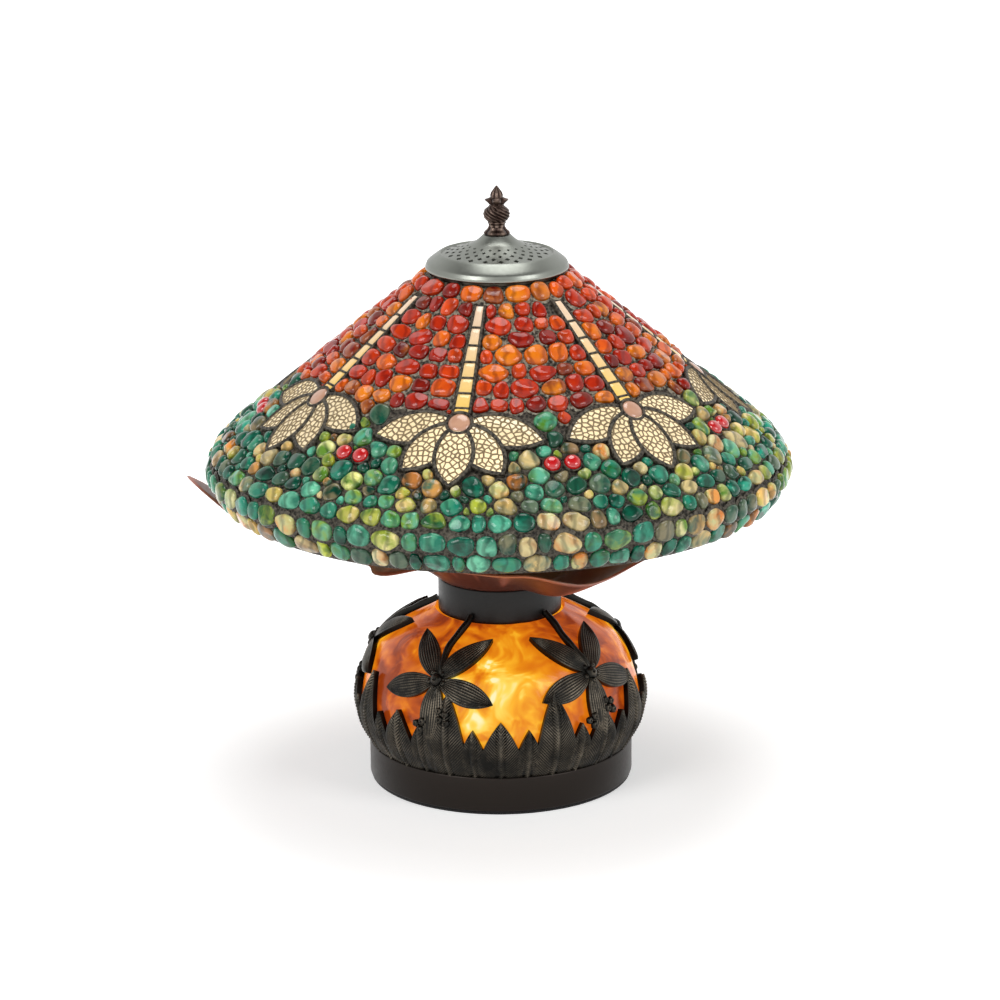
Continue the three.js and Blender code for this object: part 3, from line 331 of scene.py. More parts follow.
def patina_group():
    """Aged metal: cloudy colour and dirt, bare metal and painted highlight where the relief stands up,
    painted shade in its hollows.
    """
    tree, given, out = group("patina", {
        "Color": (0.1, 0.1, 0.1, 1.0), "Worn": (0.4, 0.4, 0.4, 1.0), "Dirt": (0.0, 0.0, 0.0, 1.0),
        "Relief": 0.5, "Scale": 60.0, "Cloud": 0.3, "Wear": 0.3, "Roughness": 0.4,
    }, {"Color": "Color", "Roughness": "Float", "Height": "Float"})
    speck_fineness = 14.0
    place = object_place(tree)
    cloud = clouds(tree, place, given["Scale"], 6.0, Roughness=0.62)["Fac"]
    speck = clouds(tree, place, calc(tree, "MULTIPLY", given["Scale"], speck_fineness), 3.0)["Fac"]
    aged = mixed(tree, calc(tree, "MULTIPLY", cloud, given["Cloud"]), given["Color"], given["Dirt"])
    # Painted shade: the colour is darkened where the relief lies low, in grooves, on the sides and on the
    # undersides.
    hollow = ranged(tree, given["Relief"], 0, 0.4, 0.35, 1)
    shaded = vector_calc(tree, "SCALE", aged, hollow)
    # Partly rubbed metal, partly painted highlight: the high relief takes the lighter worn colour.
    high = ranged(tree, given["Relief"], 0.45, 1)
    patchy = ranged(tree, cloud, 0.35, 0.65)
    worn = calc(tree, "MULTIPLY", calc(tree, "MULTIPLY", high, patchy), given["Wear"])
    uneven = ranged(tree, speck, 0, 1, -0.08, 0.1)
    wire_up(tree, out, Color=mixed(tree, worn, shaded, given["Worn"]),
            Roughness=calc(tree, "ADD", given["Roughness"], uneven), Height=speck)
    return tree


patina = patina_group()


def aged_metal(name, relief=None, grain=0.1, metallic=1.0, **values):
    """A metal finish from the patina group. relief names the value kept at the points, if there is one."""
    made, tree, surface = finish(name, Metallic=metallic)
    skin = put(tree, "ShaderNodeGroup", values, node_tree=patina)
    if relief:
        wire_up(tree, skin, Relief=put(tree, "ShaderNodeAttribute", attribute_name=relief).outputs["Fac"])
    wire_up(tree, surface, Base_Color=skin.outputs["Color"], Roughness=skin.outputs["Roughness"],
            Normal=bump(tree, skin.outputs["Height"], grain, 0.3))
    return made


bronze_paint = aged_metal("bronze_paint", metallic=0.7, Color=tone(36, 29, 24), Worn=tone(104, 84, 68),
                          Dirt=tone(24, 20, 17), Scale=30.0, Cloud=0.5, Wear=0.1, Roughness=0.36)
foot_section = [
    (pipe_hole, foot_high.z - foot_wall), (foot_radius - foot_wall, foot_high.z - foot_wall),
    (foot_radius - foot_wall, foot_low.z), (foot_radius, foot_low.z), (foot_radius, foot_high.z),
    (pipe_hole, foot_high.z),
]
foot = turned("foot_drum", rounded(foot_section, foot_edge), sides=160)
fit(foot, bronze_paint, "base", "dark_bronze", "foot_shell")

# Under the foot lie a black felt pad, glued to its lower edge, and a cast iron ballast disc, drawn
# up inside by a washer and a nut on the pipe. The flex leaves through a bush of black plastic.
sharp_edge = math.radians(40)
felt_edge = 0.6


def dress(node, surface_finish, edge=0.25):
    """Gives a plain CAD node its finish, and rounds its edges a little."""
    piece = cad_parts[node]
    piece.data.materials.clear()
    piece.data.materials.append(surface_finish)
    piece.data.shade_smooth()
    piece.data.set_sharp_from_angle(angle=sharp_edge)
    bevel = piece.modifiers.new("eased_edges", "BEVEL")
    bevel.width = edge * mm
    bevel.segments = 2
    bevel.limit_method = "ANGLE"
    bevel.angle_limit = sharp_edge
    bevel.harden_normals = False


def felt_finish():
    made, tree, surface = finish("black_felt", Roughness=0.95, Sheen_Weight=0.4, Specular_IOR_Level=0.2)
    fuzz = clouds(tree, object_place(tree), 900.0, 4.0)["Fac"]
    wire_up(tree, surface, Base_Color=mixed(tree, fuzz, tone(12, 12, 13), tone(44, 43, 44)),
            Normal=bump(tree, fuzz, 0.8, 0.5))
    return made


felt_low, felt_high = box_of("felt_pad")
felt_section = [(0, felt_low.z), (felt_high.x, felt_low.z), (felt_high.x, felt_high.z), (0, felt_high.z)]
felt = turned("felt_disc", rounded(felt_section, felt_edge), sides=128)
fit(felt, felt_finish(), "base", "black_felt", "felt_pad")

black_plastic = aged_metal("black_plastic_skin", metallic=0.0, grain=0.2, Color=tone(22, 22, 23),
                           Worn=tone(60, 60, 60), Dirt=tone(12, 12, 12), Scale=90.0, Wear=0.05,
                           Roughness=0.42)
cast_iron = aged_metal("cast_iron_skin", metallic=0.6, grain=0.9, Color=tone(60, 58, 56),
                       Worn=tone(110, 108, 104), Dirt=tone(30, 26, 24), Scale=120.0, Roughness=0.62)
zinc_steel = aged_metal("zinc_steel", Color=tone(172, 172, 170), Worn=tone(215, 214, 210),
                        Dirt=tone(112, 108, 100), Scale=70.0, Cloud=0.4, Roughness=0.32)
dress("cord_bush", black_plastic)
dress("foot_ballast", cast_iron, edge=1)
dress("foot_washer", zinc_steel)
dress("foot_nut", zinc_steel, edge=0.4)
dress("centre_pipe", zinc_steel)

# The bowl is blown amber glass, dimpled and streaked, that fills the casting like a lining. A bulb
# inside lights it: yellow-white where the light lies close behind the glass, orange-red further off.
casting_low, casting_high = box_of("pierced_casting")
bowl_radius = casting_high.x
bowl_height = casting_high.z - casting_low.z
bowl_shares = [(0.895, 0), (0.98, 0.16), (1, 0.34), (0.93, 0.58), (0.78, 0.78), (0.47, 0.965)]
bowl_knots = [(r * bowl_radius, casting_low.z + h * bowl_height) for r, h in bowl_shares]
casting_thickness = 3
glass_gap = 0.3
glass_thickness = 3
glass_ripple = 0.55
glass_ripple_pitch = 9
glow_places = [-90, 30, 150]
glow_radius = 88
glow_height = 84
glow_reach = (4, 98)
swirl_scale = 34.0
swirl_sway = 0.05
dimple_scale = 78.0
amber_stops = [(0, (128, 44, 10)), (0.2, (176, 74, 10)), (0.42, (214, 112, 14)), (0.62, (232, 142, 20)),
               (0.8, (250, 182, 40)), (0.92, (255, 222, 96)), (1, (255, 246, 190))]


def smooth_line(knots, steps=12):
    """A smooth line through (x, y) knots, as many steps from each to the next."""
    line = []
    for i in range(len(knots) - 1):
        a, b, c, d = (Vector(knots[min(max(i + k, 0), len(knots) - 1)]) for k in (-1, 0, 1, 2))
        for step in range(steps):
            t = step / steps
            line.append((b * 2 + (c - a) * t + (a * 2 - b * 5 + c * 4 - d) * t**2
                         + (b * 3 - a - c * 3 + d) * t**3) / 2)
    return [tuple(point) for point in line] + [tuple(knots[-1])]


bowl_line = [Vector(point) for point in smooth_line(bowl_knots)]
bowl_arcs = [0]
for k in range(1, len(bowl_line)):
    bowl_arcs.append(bowl_arcs[-1] + (bowl_line[k] - bowl_line[k - 1]).length)


def on_bowl(azimuth, arc, lift):
    """A point so far up the bowl's outline, lifted off it square to the surface."""
    k = 1
    while k < len(bowl_arcs) - 1 and bowl_arcs[k] < arc:
        k += 1
    along = (bowl_line[k] - bowl_line[k - 1]).normalized()
    foot_point = bowl_line[k - 1] + along * (arc - bowl_arcs[k - 1])
    radius = foot_point.x + along.y * lift
    return polar(radius, azimuth, foot_point.y - along.x * lift)


def bowl_glass():
    sides, rows = 144, 44
    top = bowl_arcs[-1]
    points = []
    for i in range(sides):
        azimuth = turn * i / sides
        for k in range(2 * rows):
            inside = k >= rows
            share = (2 * rows - 1 - k if inside else k) / (rows - 1)
            dent = glass_ripple * noise.noise(Vector(on_bowl(azimuth, top * share, 0)) / glass_ripple_pitch)
            sink = casting_thickness + glass_gap + glass_thickness * inside
            points.append(on_bowl(azimuth, top * share, dent - glass_ripple - sink))
    return build("amber_bowl", points, tube_faces(sides, 2 * rows))


def coloured(tree, share, stops, interpolation="LINEAR"):
    """A row of colours, each at its own share from 0 to 1."""
    ramp = put(tree, "ShaderNodeValToRGB", {"Fac": share})
    ramp.color_ramp.interpolation = interpolation
    elements = ramp.color_ramp.elements
    elements[0].color, elements[-1].color = tone(*stops[0][1]), tone(*stops[-1][1])
    for place, colour in stops[1:-1]:
        elements.new(place).color = tone(*colour)
    return ramp.outputs["Color"]


def amber_finish():
    made, tree, surface = finish("amber_art_glass", Roughness=0.22, Specular_IOR_Level=0.22,
                                 Emission_Strength=0.95)
    place = object_place(tree)
    swirl = clouds(tree, place, swirl_scale, 2.5, Distortion=1.6)
    swayed = vector_calc(tree, "SUBTRACT", swirl["Color"], (0.5, 0.5, 0.5))
    warped = vector_calc(tree, "ADD", place, vector_calc(tree, "SCALE", swayed, swirl_sway))
    nearest = None
    for degrees in glow_places:
        centre = [c * mm for c in polar(glow_radius, math.radians(degrees), glow_height)]
        near = length_of(tree, vector_calc(tree, "SUBTRACT", warped, centre))
        nearest = calc(tree, "MINIMUM", nearest, near) if nearest else near
    glow = ranged(tree, nearest, *(reach * mm for reach in glow_reach), 1, 0)
    streak = ranged(tree, swirl["Fac"], 0.3, 0.7, -0.24, 0.16)
    dimple = put(tree, "ShaderNodeTexVoronoi", {"Vector": warped, "Scale": dimple_scale}, feature="SMOOTH_F1")
    focus = ranged(tree, dimple.outputs["Distance"], 0.1, 0.7, 0.13, -0.13)
    lit = calc(tree, "ADD", glow, calc(tree, "ADD", streak, focus), use_clamp=True)
    wire_up(tree, surface, Emission_Color=coloured(tree, lit, amber_stops),
            Base_Color=mixed(tree, swirl["Fac"], tone(70, 26, 4), tone(120, 58, 8)),
            Normal=bump(tree, swirl["Fac"], 0.5, 1.5))
    return made


fit(bowl_glass(), amber_finish(), "base", "amber_glass", "bowl_glass")

# The openwork casting is poured in bronze and blackened: veined fronds stand up from a band at the
# bottom, star blossoms on stems hang over them, and all are one with the ring at the neck.
frond_count = 16
frond_width = 34
frond_lengths = (42, 60)
bract_length = 36
bract_width = 23
band_height = 8
blossom_count = 5
blossom_share = 0.64
petal_count = 5
petal_length = 46
petal_width = 18
stem_width = 3.6
stalk_overrun = 3.2
neck_ring_inner = 34
collar_cover = 0.5
neck_ring_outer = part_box("neck_collar")[1].x / mm - collar_cover
neck_ring_thickness = 5.6
vein_pitch = 2.3
band_beads = 120
blossom_turn_share = 0.35
heart_bud = 4.6
ring_bud = 2.1
ring_bud_circle = 5.6
cluster_bud = 3.2
cluster_places = [(7, 45), (11, 49), (6, 51), (12, 43), (-7, 36), (-11, 40), (-6, 42)]


def leaf_shell(store, half_width, length, columns, rows, place, relief, thickness):
    """A closed leaf of metal or glass. relief gives the lift of its face, from 0 to 1 and in height."""
    points, faces, tops = store
    first = len(points)
    for side in (0, 1):
        for j in range(rows + 1):
            v = j / rows
            for i in range(columns + 1):
                u = 2 * i / columns - 1
                x, y = u * half_width(v), v * length
                lift, top = relief(u, v, x, y)
                points.append(place(x, y, -thickness if side else lift))
                # The underside gets 0, which the finish paints as shade, and the edges shade towards it.
                tops.append(0.0 if side else top)
    size = (rows + 1) * (columns + 1)

    def at(side, j, i):
        return first + side * size + j * (columns + 1) + i

    for j in range(rows):
        for i in range(columns):
            faces.append((at(0, j, i), at(0, j, i + 1), at(0, j + 1, i + 1), at(0, j + 1, i)))
            faces.append((at(1, j, i), at(1, j + 1, i), at(1, j + 1, i + 1), at(1, j, i + 1)))
        for i in (0, columns):
            faces.append((at(0, j, i), at(0, j + 1, i), at(1, j + 1, i), at(1, j, i)))
    for j in (0, rows):
        for i in range(columns):
            faces.append((at(0, j, i), at(1, j, i), at(1, j, i + 1), at(0, j, i + 1)))


def arc_at(height):
    """How far up the bowl's outline a height above its foot lies."""
    return next(arc for arc, point in zip(bowl_arcs, bowl_line) if point.y >= casting_low.z + height)


def frond_half_width(width):
    """The lancet outline of a frond: broad at its root and drawn in to a point."""
    def half(v):
        t = (1.24 - math.sqrt(max(1.5376 - 0.96 * v, 0))) / 0.48
        return width * ((1 - t) ** 2 / 2 + 2 * t * (1 - t) * 0.47)
    return half


def petal_half_width(width, fullness=0.3):
    """The outline of a petal: a point at each end, and full in the middle."""
    def half(v):
        t = v
        for _ in range(12):
            height = 3 * (1 - t) ** 2 * t * fullness + 3 * (1 - t) * t**2 * (1 - fullness) + t**3
            t = min(max(t + (v - height) * 0.8, 0), 1)
        return width * (3 * (1 - t) ** 2 * t * 0.62 + 3 * (1 - t) * t**2 * 0.66)
    return half


def frond_relief(u, v, x, y):
    """Herringbone veins on either side of a raised midrib."""
    rib = math.exp(-((x / 1.1) ** 2))
    vein = 0.5 + 0.5 * math.sin(turn * (y - 1.15 * abs(x)) / vein_pitch)
    fade = min(1, (1 - abs(u)) * 5) * min(1, (1 - v) * 9)
    crown = 1 - abs(u) ** 2.5
    lift = 0.4 + 0.75 * crown + 0.9 * rib + 0.7 * vein**1.5 * fade
    edge = max(0, abs(u) - 0.86) / 0.14
    # The second value sets how bright the finish paints each place: painted highlight on the rib, the veins
    # and the edge, painted shade between the veins.
    return (lift - 0.9 * math.exp(-((abs(x) - 2.6) / 0.9) ** 2) * fade + 0.3 * edge,
            min(1, 0.3 + 0.5 * rib + 0.75 * vein * fade + 0.3 * edge) - 0.3 * (1 - vein) * fade)


def petal_relief(u, v, x, y):
    """Fine lengthwise veins that spread from the blossom's heart."""
    vein = 0.5 + 0.5 * math.cos(9 * math.pi * u)
    rung = 0.5 + 0.5 * math.sin(turn * (y + 2.5 * abs(u)) / 1.9)
    fade = min(1, (1 - abs(u)) * 6) * min(1, (1 - v) * 8)
    crown = 1 - abs(u) ** 3
    edge = max(0, abs(u) - 0.86) / 0.14
    # The second value sets how bright the finish paints each place: painted highlight on the veins, rungs and
    # edge.
    return (0.4 + 0.8 * crown * (1 - 0.4 * v) + (0.55 * vein + 0.22 * rung * (1 - vein)) * fade + 0.35 * edge,
            min(1, 0.15 + 0.8 * vein * fade + 0.25 * rung * fade + 0.4 * edge))


def bowl_placer(azimuth, arc, spin=0):
    """Lays flat outlines on the bowl: y runs up it from a given height, after a turn by spin."""
    def place(x, y, lift):
        across = x * math.cos(spin) - y * math.sin(spin)
        up = x * math.sin(spin) + y * math.cos(spin)
        radius = Vector(on_bowl(0, arc + up, 0)).x
        return on_bowl(azimuth + across / max(radius, 30), arc + up, lift)
    return place


def berry(store, place, x, y, size, lift):
    """A small bud with a dimple in its tip, standing on the casting."""
    points, faces, tops = store
    sides, rows = 10, 5
    first = len(points)
    for j in range(rows + 1):
        lean = math.pi * 0.55 * j / rows
        for i in range(sides):
            azimuth = turn * i / sides
            swell = size * (1 + 0.07 * math.cos(5 * azimuth))
            rise = size * math.cos(lean) * 0.9 - (0.3 * size if j == 0 else 0)
            radius = max(math.sin(lean), 0.12)
            points.append(place(x + swell * radius * math.cos(azimuth),
                                y + swell * radius * math.sin(azimuth), lift + rise))
            # Painted highlight round the bud's crown, painted shade in its dimple and towards its foot.
            tops.append(0.2 if j == 0 else max(0.0, 1 - j / rows))
    faces += drum_faces(rows + 1, sides, first)
    faces += [tuple(range(end, end + sides)) for end in (first, first + rows * sides)]


def band(store, low_arc, high_arc, beads):
    """A plain band round the bowl with a row of low beads on it."""
    points, faces, tops = store
    sides, rows = 192, 5
    first = len(points)
    count = 2 * (rows + 1)
    for i in range(sides):
        azimuth = turn * i / sides
        for k in range(count):
            inside = k > rows
            share = (count - 1 - k if inside else k) / rows
            edge = 1 - (2 * share - 1) ** 4
            wave = 0.25 * math.sin(beads * azimuth) * edge
            points.append(on_bowl(azimuth, low_arc + (high_arc - low_arc) * share,
                                  -casting_thickness if inside else 0.35 + 0.5 * edge + wave))
            # Painted shade along the band's edges and on its inside, lighter across its middle.
            tops.append(0.0 if inside else 0.4 * edge)
    faces += tube_faces(sides, count, first)


def bract_relief(u, v, x, y):
    """The relief of the half-height leaves, which lie a little lower than the fronds."""
    lift, top = frond_relief(u, v, x, y)
    return lift - 0.3, top


def stalk_relief(u, v, x, y):
    """A half-round stem, knobbly along its length."""
    return 1.5 * math.sqrt(max(0, 1 - 0.8 * u * u)) + 0.3 * math.sin(y / 3), 0.5


def blossom(store, azimuth):
    """A star of petals with a budded heart, its winding stem up to the neck, and two clusters of buds."""
    arc = arc_at(blossom_share * bowl_height)
    for k in range(petal_count):
        leaf_shell(store, petal_half_width(petal_width), petal_length, 44, 72,
                   bowl_placer(azimuth, arc, turn * (k + 0.5) / petal_count), petal_relief, casting_thickness)
    place = bowl_placer(azimuth, 0)
    leaf_shell(store, lambda v: stem_width / 2, bowl_arcs[-1] + stalk_overrun, 6, 90,
               lambda x, y, lift: place(x + 1.6 * math.sin(y / 9), y, lift), stalk_relief, casting_thickness)
    berry(store, place, 0, arc, heart_bud, 1.0)
    for k in range(petal_count):
        lean = turn * (k + 0.5) / petal_count
        across, up = ring_bud_circle * math.sin(lean), ring_bud_circle * math.cos(lean)
        berry(store, place, across, arc + up, ring_bud, 1.2)
    for k, (x, y) in enumerate(cluster_places):
        berry(store, place, x, y, cluster_bud - 0.2 * (k % 3), 0.4)


def open_casting():
    store = ([], [], [])
    band(store, 0, band_height, band_beads)
    for i in range(frond_count):
        length = arc_at(frond_lengths[i % 2])
        leaf_shell(store, frond_half_width(frond_width), length, 34, int(2.8 * length),
                   bowl_placer(turn * i / frond_count, 0), frond_relief, casting_thickness)
        leaf_shell(store, frond_half_width(bract_width), arc_at(bract_length), 24, 60,
                   bowl_placer(turn * (i + 0.5) / frond_count, 0), bract_relief, casting_thickness)
    for i in range(blossom_count):
        blossom(store, turn * (i + blossom_turn_share) / blossom_count)
    points, faces, tops = store
    return build("openwork_casting", points, faces, {"relief": tops}, crease=50)


def neck_ring():
    low, high = casting_high.z - neck_ring_thickness, casting_high.z
    section = [(neck_ring_inner, low), (neck_ring_outer, low),
               (neck_ring_outer, high), (neck_ring_inner, high)]
    return turned("neck_ring", rounded(section, 0.6))


black_bronze = aged_metal("black_bronze", relief="relief", metallic=0.85, grain=0.25, Color=tone(34, 33, 30),
                          Worn=tone(142, 131, 114), Dirt=tone(15, 14, 13), Scale=55.0, Cloud=0.5, Wear=0.75,
                          Roughness=0.36)
fit(open_casting(), black_bronze, "base", "cast_bronze", "pierced_casting")
fit(neck_ring(), black_bronze, "base", "cast_bronze")

# The collar is a plain spun cup in the same near-black finish, clamped on the neck by the dish. A
# thin skirt runs on from it, round the casting's ring, down to the glass.
collar_low, collar_high = box_of("neck_collar")
collar_radius = collar_high.x
collar_wall = 2.4
skirt_thickness = 0.4
skirt_sink = 1.2
collar_skirt_end = bowl_knots[-1][1] - casting_thickness - skirt_sink
collar_section = [
    (pipe_hole, collar_high.z - collar_wall), (collar_radius - collar_wall, collar_high.z - collar_wall),
    (collar_radius - collar_wall, collar_low.z), (collar_radius - skirt_thickness, collar_low.z),
    (collar_radius - skirt_thickness, collar_skirt_end), (collar_radius, collar_skirt_end),
    (collar_radius, collar_high.z), (pipe_hole, collar_high.z),
]
collar_paint = aged_metal("collar_paint", metallic=0.6, Color=tone(31, 31, 30), Worn=tone(86, 84, 80),
                          Dirt=tone(22, 21, 21), Scale=36.0, Cloud=0.5, Wear=0.1, Roughness=0.4)
collar = turned("collar_cup", rounded(collar_section, 1.1), sides=128)
fit(collar, collar_paint, "base", "dark_bronze", "neck_collar")

# The dish is one sheet of copper, raised into a ruffled lily leaf and browned. Its longest lobe
# curls up outside the shade's rim, its veins run out from the middle, and its edge is rolled over.
dish_thickness = 2.2
dish_top = collar_high.z + 0.3 + dish_thickness
shade_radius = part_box("green_stone_border")[1].x / mm
shade_bottom = collar_high.z + 58
rim_radius = 0.924 * shade_radius
dish_radius = 0.81 * shade_radius
dish_rise = shade_bottom - 9.5 - dish_top
dish_sag = 15
dish_fullness = 2.2
curl_slope = 0.72
dish_lobes = [(3.025, 0.19, 55.6), (-2.094, 0.14, 20)]
# Reach, rise and sag of the edge, counter-clockwise from the long lobe
dish_edge_shares = [
    (1, 1, 0), (0.93, 0.9, 0), (0.87, 0.9, 0), (0.8, 0.9, 0), (0.7, 0.72, 0.5), (0.73, 0.52, 0.9),
    (0.76, 0.72, 0.3), (0.82, 0.95, 0), (0.84, 0.74, 0.1), (0.88, 1, 0), (0.84, 0.7, 0.2), (0.9, 1, 0),
    (0.87, 0.72, 0.2), (0.9, 1, 0), (0.93, 0.78, 0.1),
]


def away_from(azimuth, centre):
    """The angle from one azimuth to another, by the shorter way round."""
    return (azimuth - centre + 5 * math.pi) % turn - math.pi


def lobe_reach(azimuth, centre, half_width, reach):
    away = abs(away_from(azimuth, centre))
    return reach * (1 + math.cos(math.pi * away / half_width)) / 2 if away < half_width else 0


def dish_edge(azimuth):
    """The edge's shares at one azimuth, eased from each entry of the table to the next."""
    count = len(dish_edge_shares)
    place = (azimuth + 3 * math.pi) % turn * count / turn
    before, after = dish_edge_shares[int(place) % count], dish_edge_shares[(int(place) + 1) % count]
    mix = (1 - math.cos(math.pi * (place % 1))) / 2
    return [a + (b - a) * mix for a, b in zip(before, after)]


def dish_point(azimuth, share):
    """Radius and height of the dish's upper side, at a share of the way from the collar to its edge."""
    reach_share, rise_share, sag_share = dish_edge(azimuth)
    edge = reach_share * dish_radius
    tip = edge + sum(lobe_reach(azimuth, *lobe) for lobe in dish_lobes)
    radius = collar_radius + (tip - collar_radius) * share
    way = min((radius - collar_radius) / (edge - collar_radius), 1)
    rise = dish_rise * rise_share * (1 - (1 - way) ** dish_fullness)
    sag = dish_sag * sag_share * math.sin(math.pi * way)
    return radius, dish_top + rise - sag + curl_slope * max(radius - rim_radius, 0)


def leaf_dish():
    sides, rows = 288, 44
    points, reliefs = [], []
    count = 2 * (rows + 1)
    for i in range(sides):
        azimuth = turn * i / sides
        for k in range(count):
            under = k > rows
            share = (count - 1 - k if under else k) / rows
            if share == 0:
                radius, height = pipe_hole, dish_top
            else:
                radius, height = dish_point(azimuth, (share - 1 / rows) / (1 - 1 / rows))
            vein = math.cos(azimuth * 18 + 2.5 * math.sin(3 * azimuth))
            ridge = 0.5 * math.exp(-(1 - vein) * 9) * min(1, max(0, share - 0.12) * 4) * (1 - share**6)
            edge = dish_thickness * (0.5 - 0.5 * math.sqrt(max(0, 1 - max(0, (share - 0.985) / 0.015) ** 2)))
            side = -dish_thickness + edge if under else -edge
            points.append(polar(radius, azimuth, height + side + ridge))
            # Painted highlight: the veins and the rolled edge are painted lighter than the rest of the sheet.
            reliefs.append(min(1.0, ridge * 2 + 0.9 * max(0, (share - 0.96) / 0.04)))
    return build("lily_leaf_dish", points, tube_faces(sides, count), {"relief": reliefs}, crease=60)


# The worn colour here is a pink painted highlight on the veins and the rolled edge.
browned_copper = aged_metal("browned_copper", relief="relief", metallic=0.35, grain=0.06,
                            Color=tone(204, 126, 106), Worn=tone(232, 190, 172), Dirt=tone(132, 76, 62),
                            Scale=22.0, Cloud=0.7, Wear=0.5, Roughness=0.34)
fit(leaf_dish(), browned_copper, "base", "copper_brown", "leaf_dish")

# Brass fittings stand on the pipe above the dish: a washer and nut, the cast cluster body, and the
# rod that carries the shade. They are lacquered, a little tarnished, and hidden by the shade.
lamp_brass = aged_metal("lamp_brass", Color=tone(190, 152, 84), Worn=tone(232, 204, 140),
                        Dirt=tone(112, 78, 38), Scale=48.0, Cloud=0.5, Wear=0.3, Roughness=0.27)
for node in ("dish_washer", "dish_nut", "socket_cluster", "socket_left", "socket_right", "shade_rod",
             "shade_spider"):
    dress(node, lamp_brass)
ring_tin = aged_metal("ring_tin", Color=tone(84, 80, 72), Worn=tone(150, 146, 136), Dirt=tone(40, 37, 32),
                      Scale=70.0, Cloud=0.6, Wear=0.3, Roughness=0.42)
dress("shade_top_ring", ring_tin)
for node in ("turn_key_left", "turn_key_right", "base_light_socket"):
    dress(node, black_plastic)
for node in ("bulb_cap_left", "bulb_cap_right", "base_light_bracket"):
    dress(node, zinc_steel)

# The bulbs are blown glass, frosted inside, and burn softly. Two stand in the sockets under the shade
# and a small one lights the bowl.


def lit_glass(name, scale, first, second, **values):
    """Glass of two clouded colours that shines a little by itself."""
    made, tree, surface = finish(name, **values)
    colour = mixed(tree, clouds(tree, object_place(tree), scale)["Fac"], first, second)
    wire_up(tree, surface, Base_Color=colour, Emission_Color=colour)
    return made


frost = lit_glass("frosted_bulb", 400.0, tone(226, 206, 170), tone(240, 226, 196), Roughness=0.35,
                  Emission_Strength=0.3)
for node in ("bulb_left", "bulb_right", "base_light_bulb"):
    dress(node, frost)

# The shade is built on a stiff leaded sheet, a straight cone that steepens at its widest edge and
# turns in below it. Dark solder fills every gap between what is set on it.
shade_height = 165
shade_top = shade_bottom + shade_height
rim_circle = (rim_radius, shade_bottom)
wide_circle = (shade_radius, shade_bottom + 0.15 * shade_height)
brim_circle = (0.938 * shade_radius, shade_bottom + 0.27 * shade_height)
crown_circle = (50, shade_top)
stone_height = 4.6
bed_thickness = 1.2
shell_thickness = 2.6
solder_scale = 420.0
layer_steps = 10
layer_sides = 168
cone_run = brim_circle[0] - crown_circle[0]
cone_rise = crown_circle[1] - brim_circle[1]
cone_tilt = math.atan2(cone_run, cone_rise)
shade_line = [Vector(point) for point in (rim_circle, wide_circle, brim_circle, crown_circle)]


def offset(line, distance):
    """A rising line of (radius, height) points moved square to itself, out when the distance is positive."""
    normals = []
    for a, b in zip(line, line[1:]):
        along = (b - a).normalized()
        normals.append(Vector((along.y, -along.x)))
    moved = []
    for i, point in enumerate(line):
        before, after = normals[max(i - 1, 0)], normals[min(i, len(normals) - 1)]
        moved.append(point + (before + after) * distance / (1 + before.dot(after)))
    return moved


def cone_height(radius):
    return brim_circle[1] + cone_rise * (brim_circle[0] - radius) / cone_run


def solder_group():
    """Tinned lead solder: lumpy, darker where its lumps and pits lie low, lighter where they stand high."""
    tree, given, out = group("solder", {"Color": (0.1, 0.1, 0.1, 1.0), "Bright": (0.4, 0.4, 0.4, 1.0)},
                             {"Color": "Color", "Roughness": "Float", "Height": "Float"})
    place = object_place(tree)
    lumps = clouds(tree, place, solder_scale, 5.0, Roughness=0.6, Distortion=0.4)["Fac"]
    pits = put(tree, "ShaderNodeTexVoronoi", {"Vector": place, "Scale": solder_scale}).outputs["Distance"]
    height = calc(tree, "ADD", lumps, pits)
    high_lumps = ranged(tree, height, 0.75, 1.25)
    wire_up(tree, out, Color=mixed(tree, high_lumps, given["Color"], given["Bright"]),
            Roughness=ranged(tree, lumps, 0, 1, 0.35, 0.65), Height=height)
    return tree


solder = solder_group()


def solder_finish(name, dark, bright):
    made, tree, surface = finish(name, Metallic=0.55)
    skin = put(tree, "ShaderNodeGroup", {"Color": dark, "Bright": bright}, node_tree=solder).outputs
    wire_up(tree, surface, Base_Color=skin["Color"], Roughness=skin["Roughness"],
            Normal=bump(tree, skin["Height"], 0.9, 0.7))
    return made


dark_solder = solder_finish("dark_solder", tone(34, 30, 25), tone(92, 86, 75))


def layer(name, inner, outer):
    """The wall between two offsets of the shade's outline, finely divided."""
    def line(distance):
        corners = offset(shade_line, distance)
        fine = []
        for a, b in zip(corners, corners[1:]):
            fine += [a + (b - a) * (k / layer_steps) for k in range(layer_steps)]
        return [tuple(p) for p in fine] + [tuple(corners[-1])]
    return turned(name, line(outer) + line(inner)[::-1], sides=layer_sides, crease=30)


shell_outer = -(stone_height + bed_thickness + 0.3)
backs_thickness = 0.4
shell_inner = shell_outer - shell_thickness + backs_thickness
shell = layer("leaded_shell", shell_inner, shell_outer)
fit(shell, dark_solder, "shade", "lead_grey", "shade_shell")
bed = layer("solder_bed", -(stone_height + bed_thickness), -stone_height - 0.1)
fit(bed, dark_solder, "shade", "lead_grey")

# Seen from below, the backs of the stones and panes glow between their solder lines: red round the
# crown, cream behind the blossoms and green down to the rim.
backs_scale = 74.0
backs_line = tone(40, 36, 30)
backs_zones = [(0, (196, 74, 36)), (0.47, (240, 216, 160)), (0.8, (92, 140, 92)), (1, (92, 140, 92))]


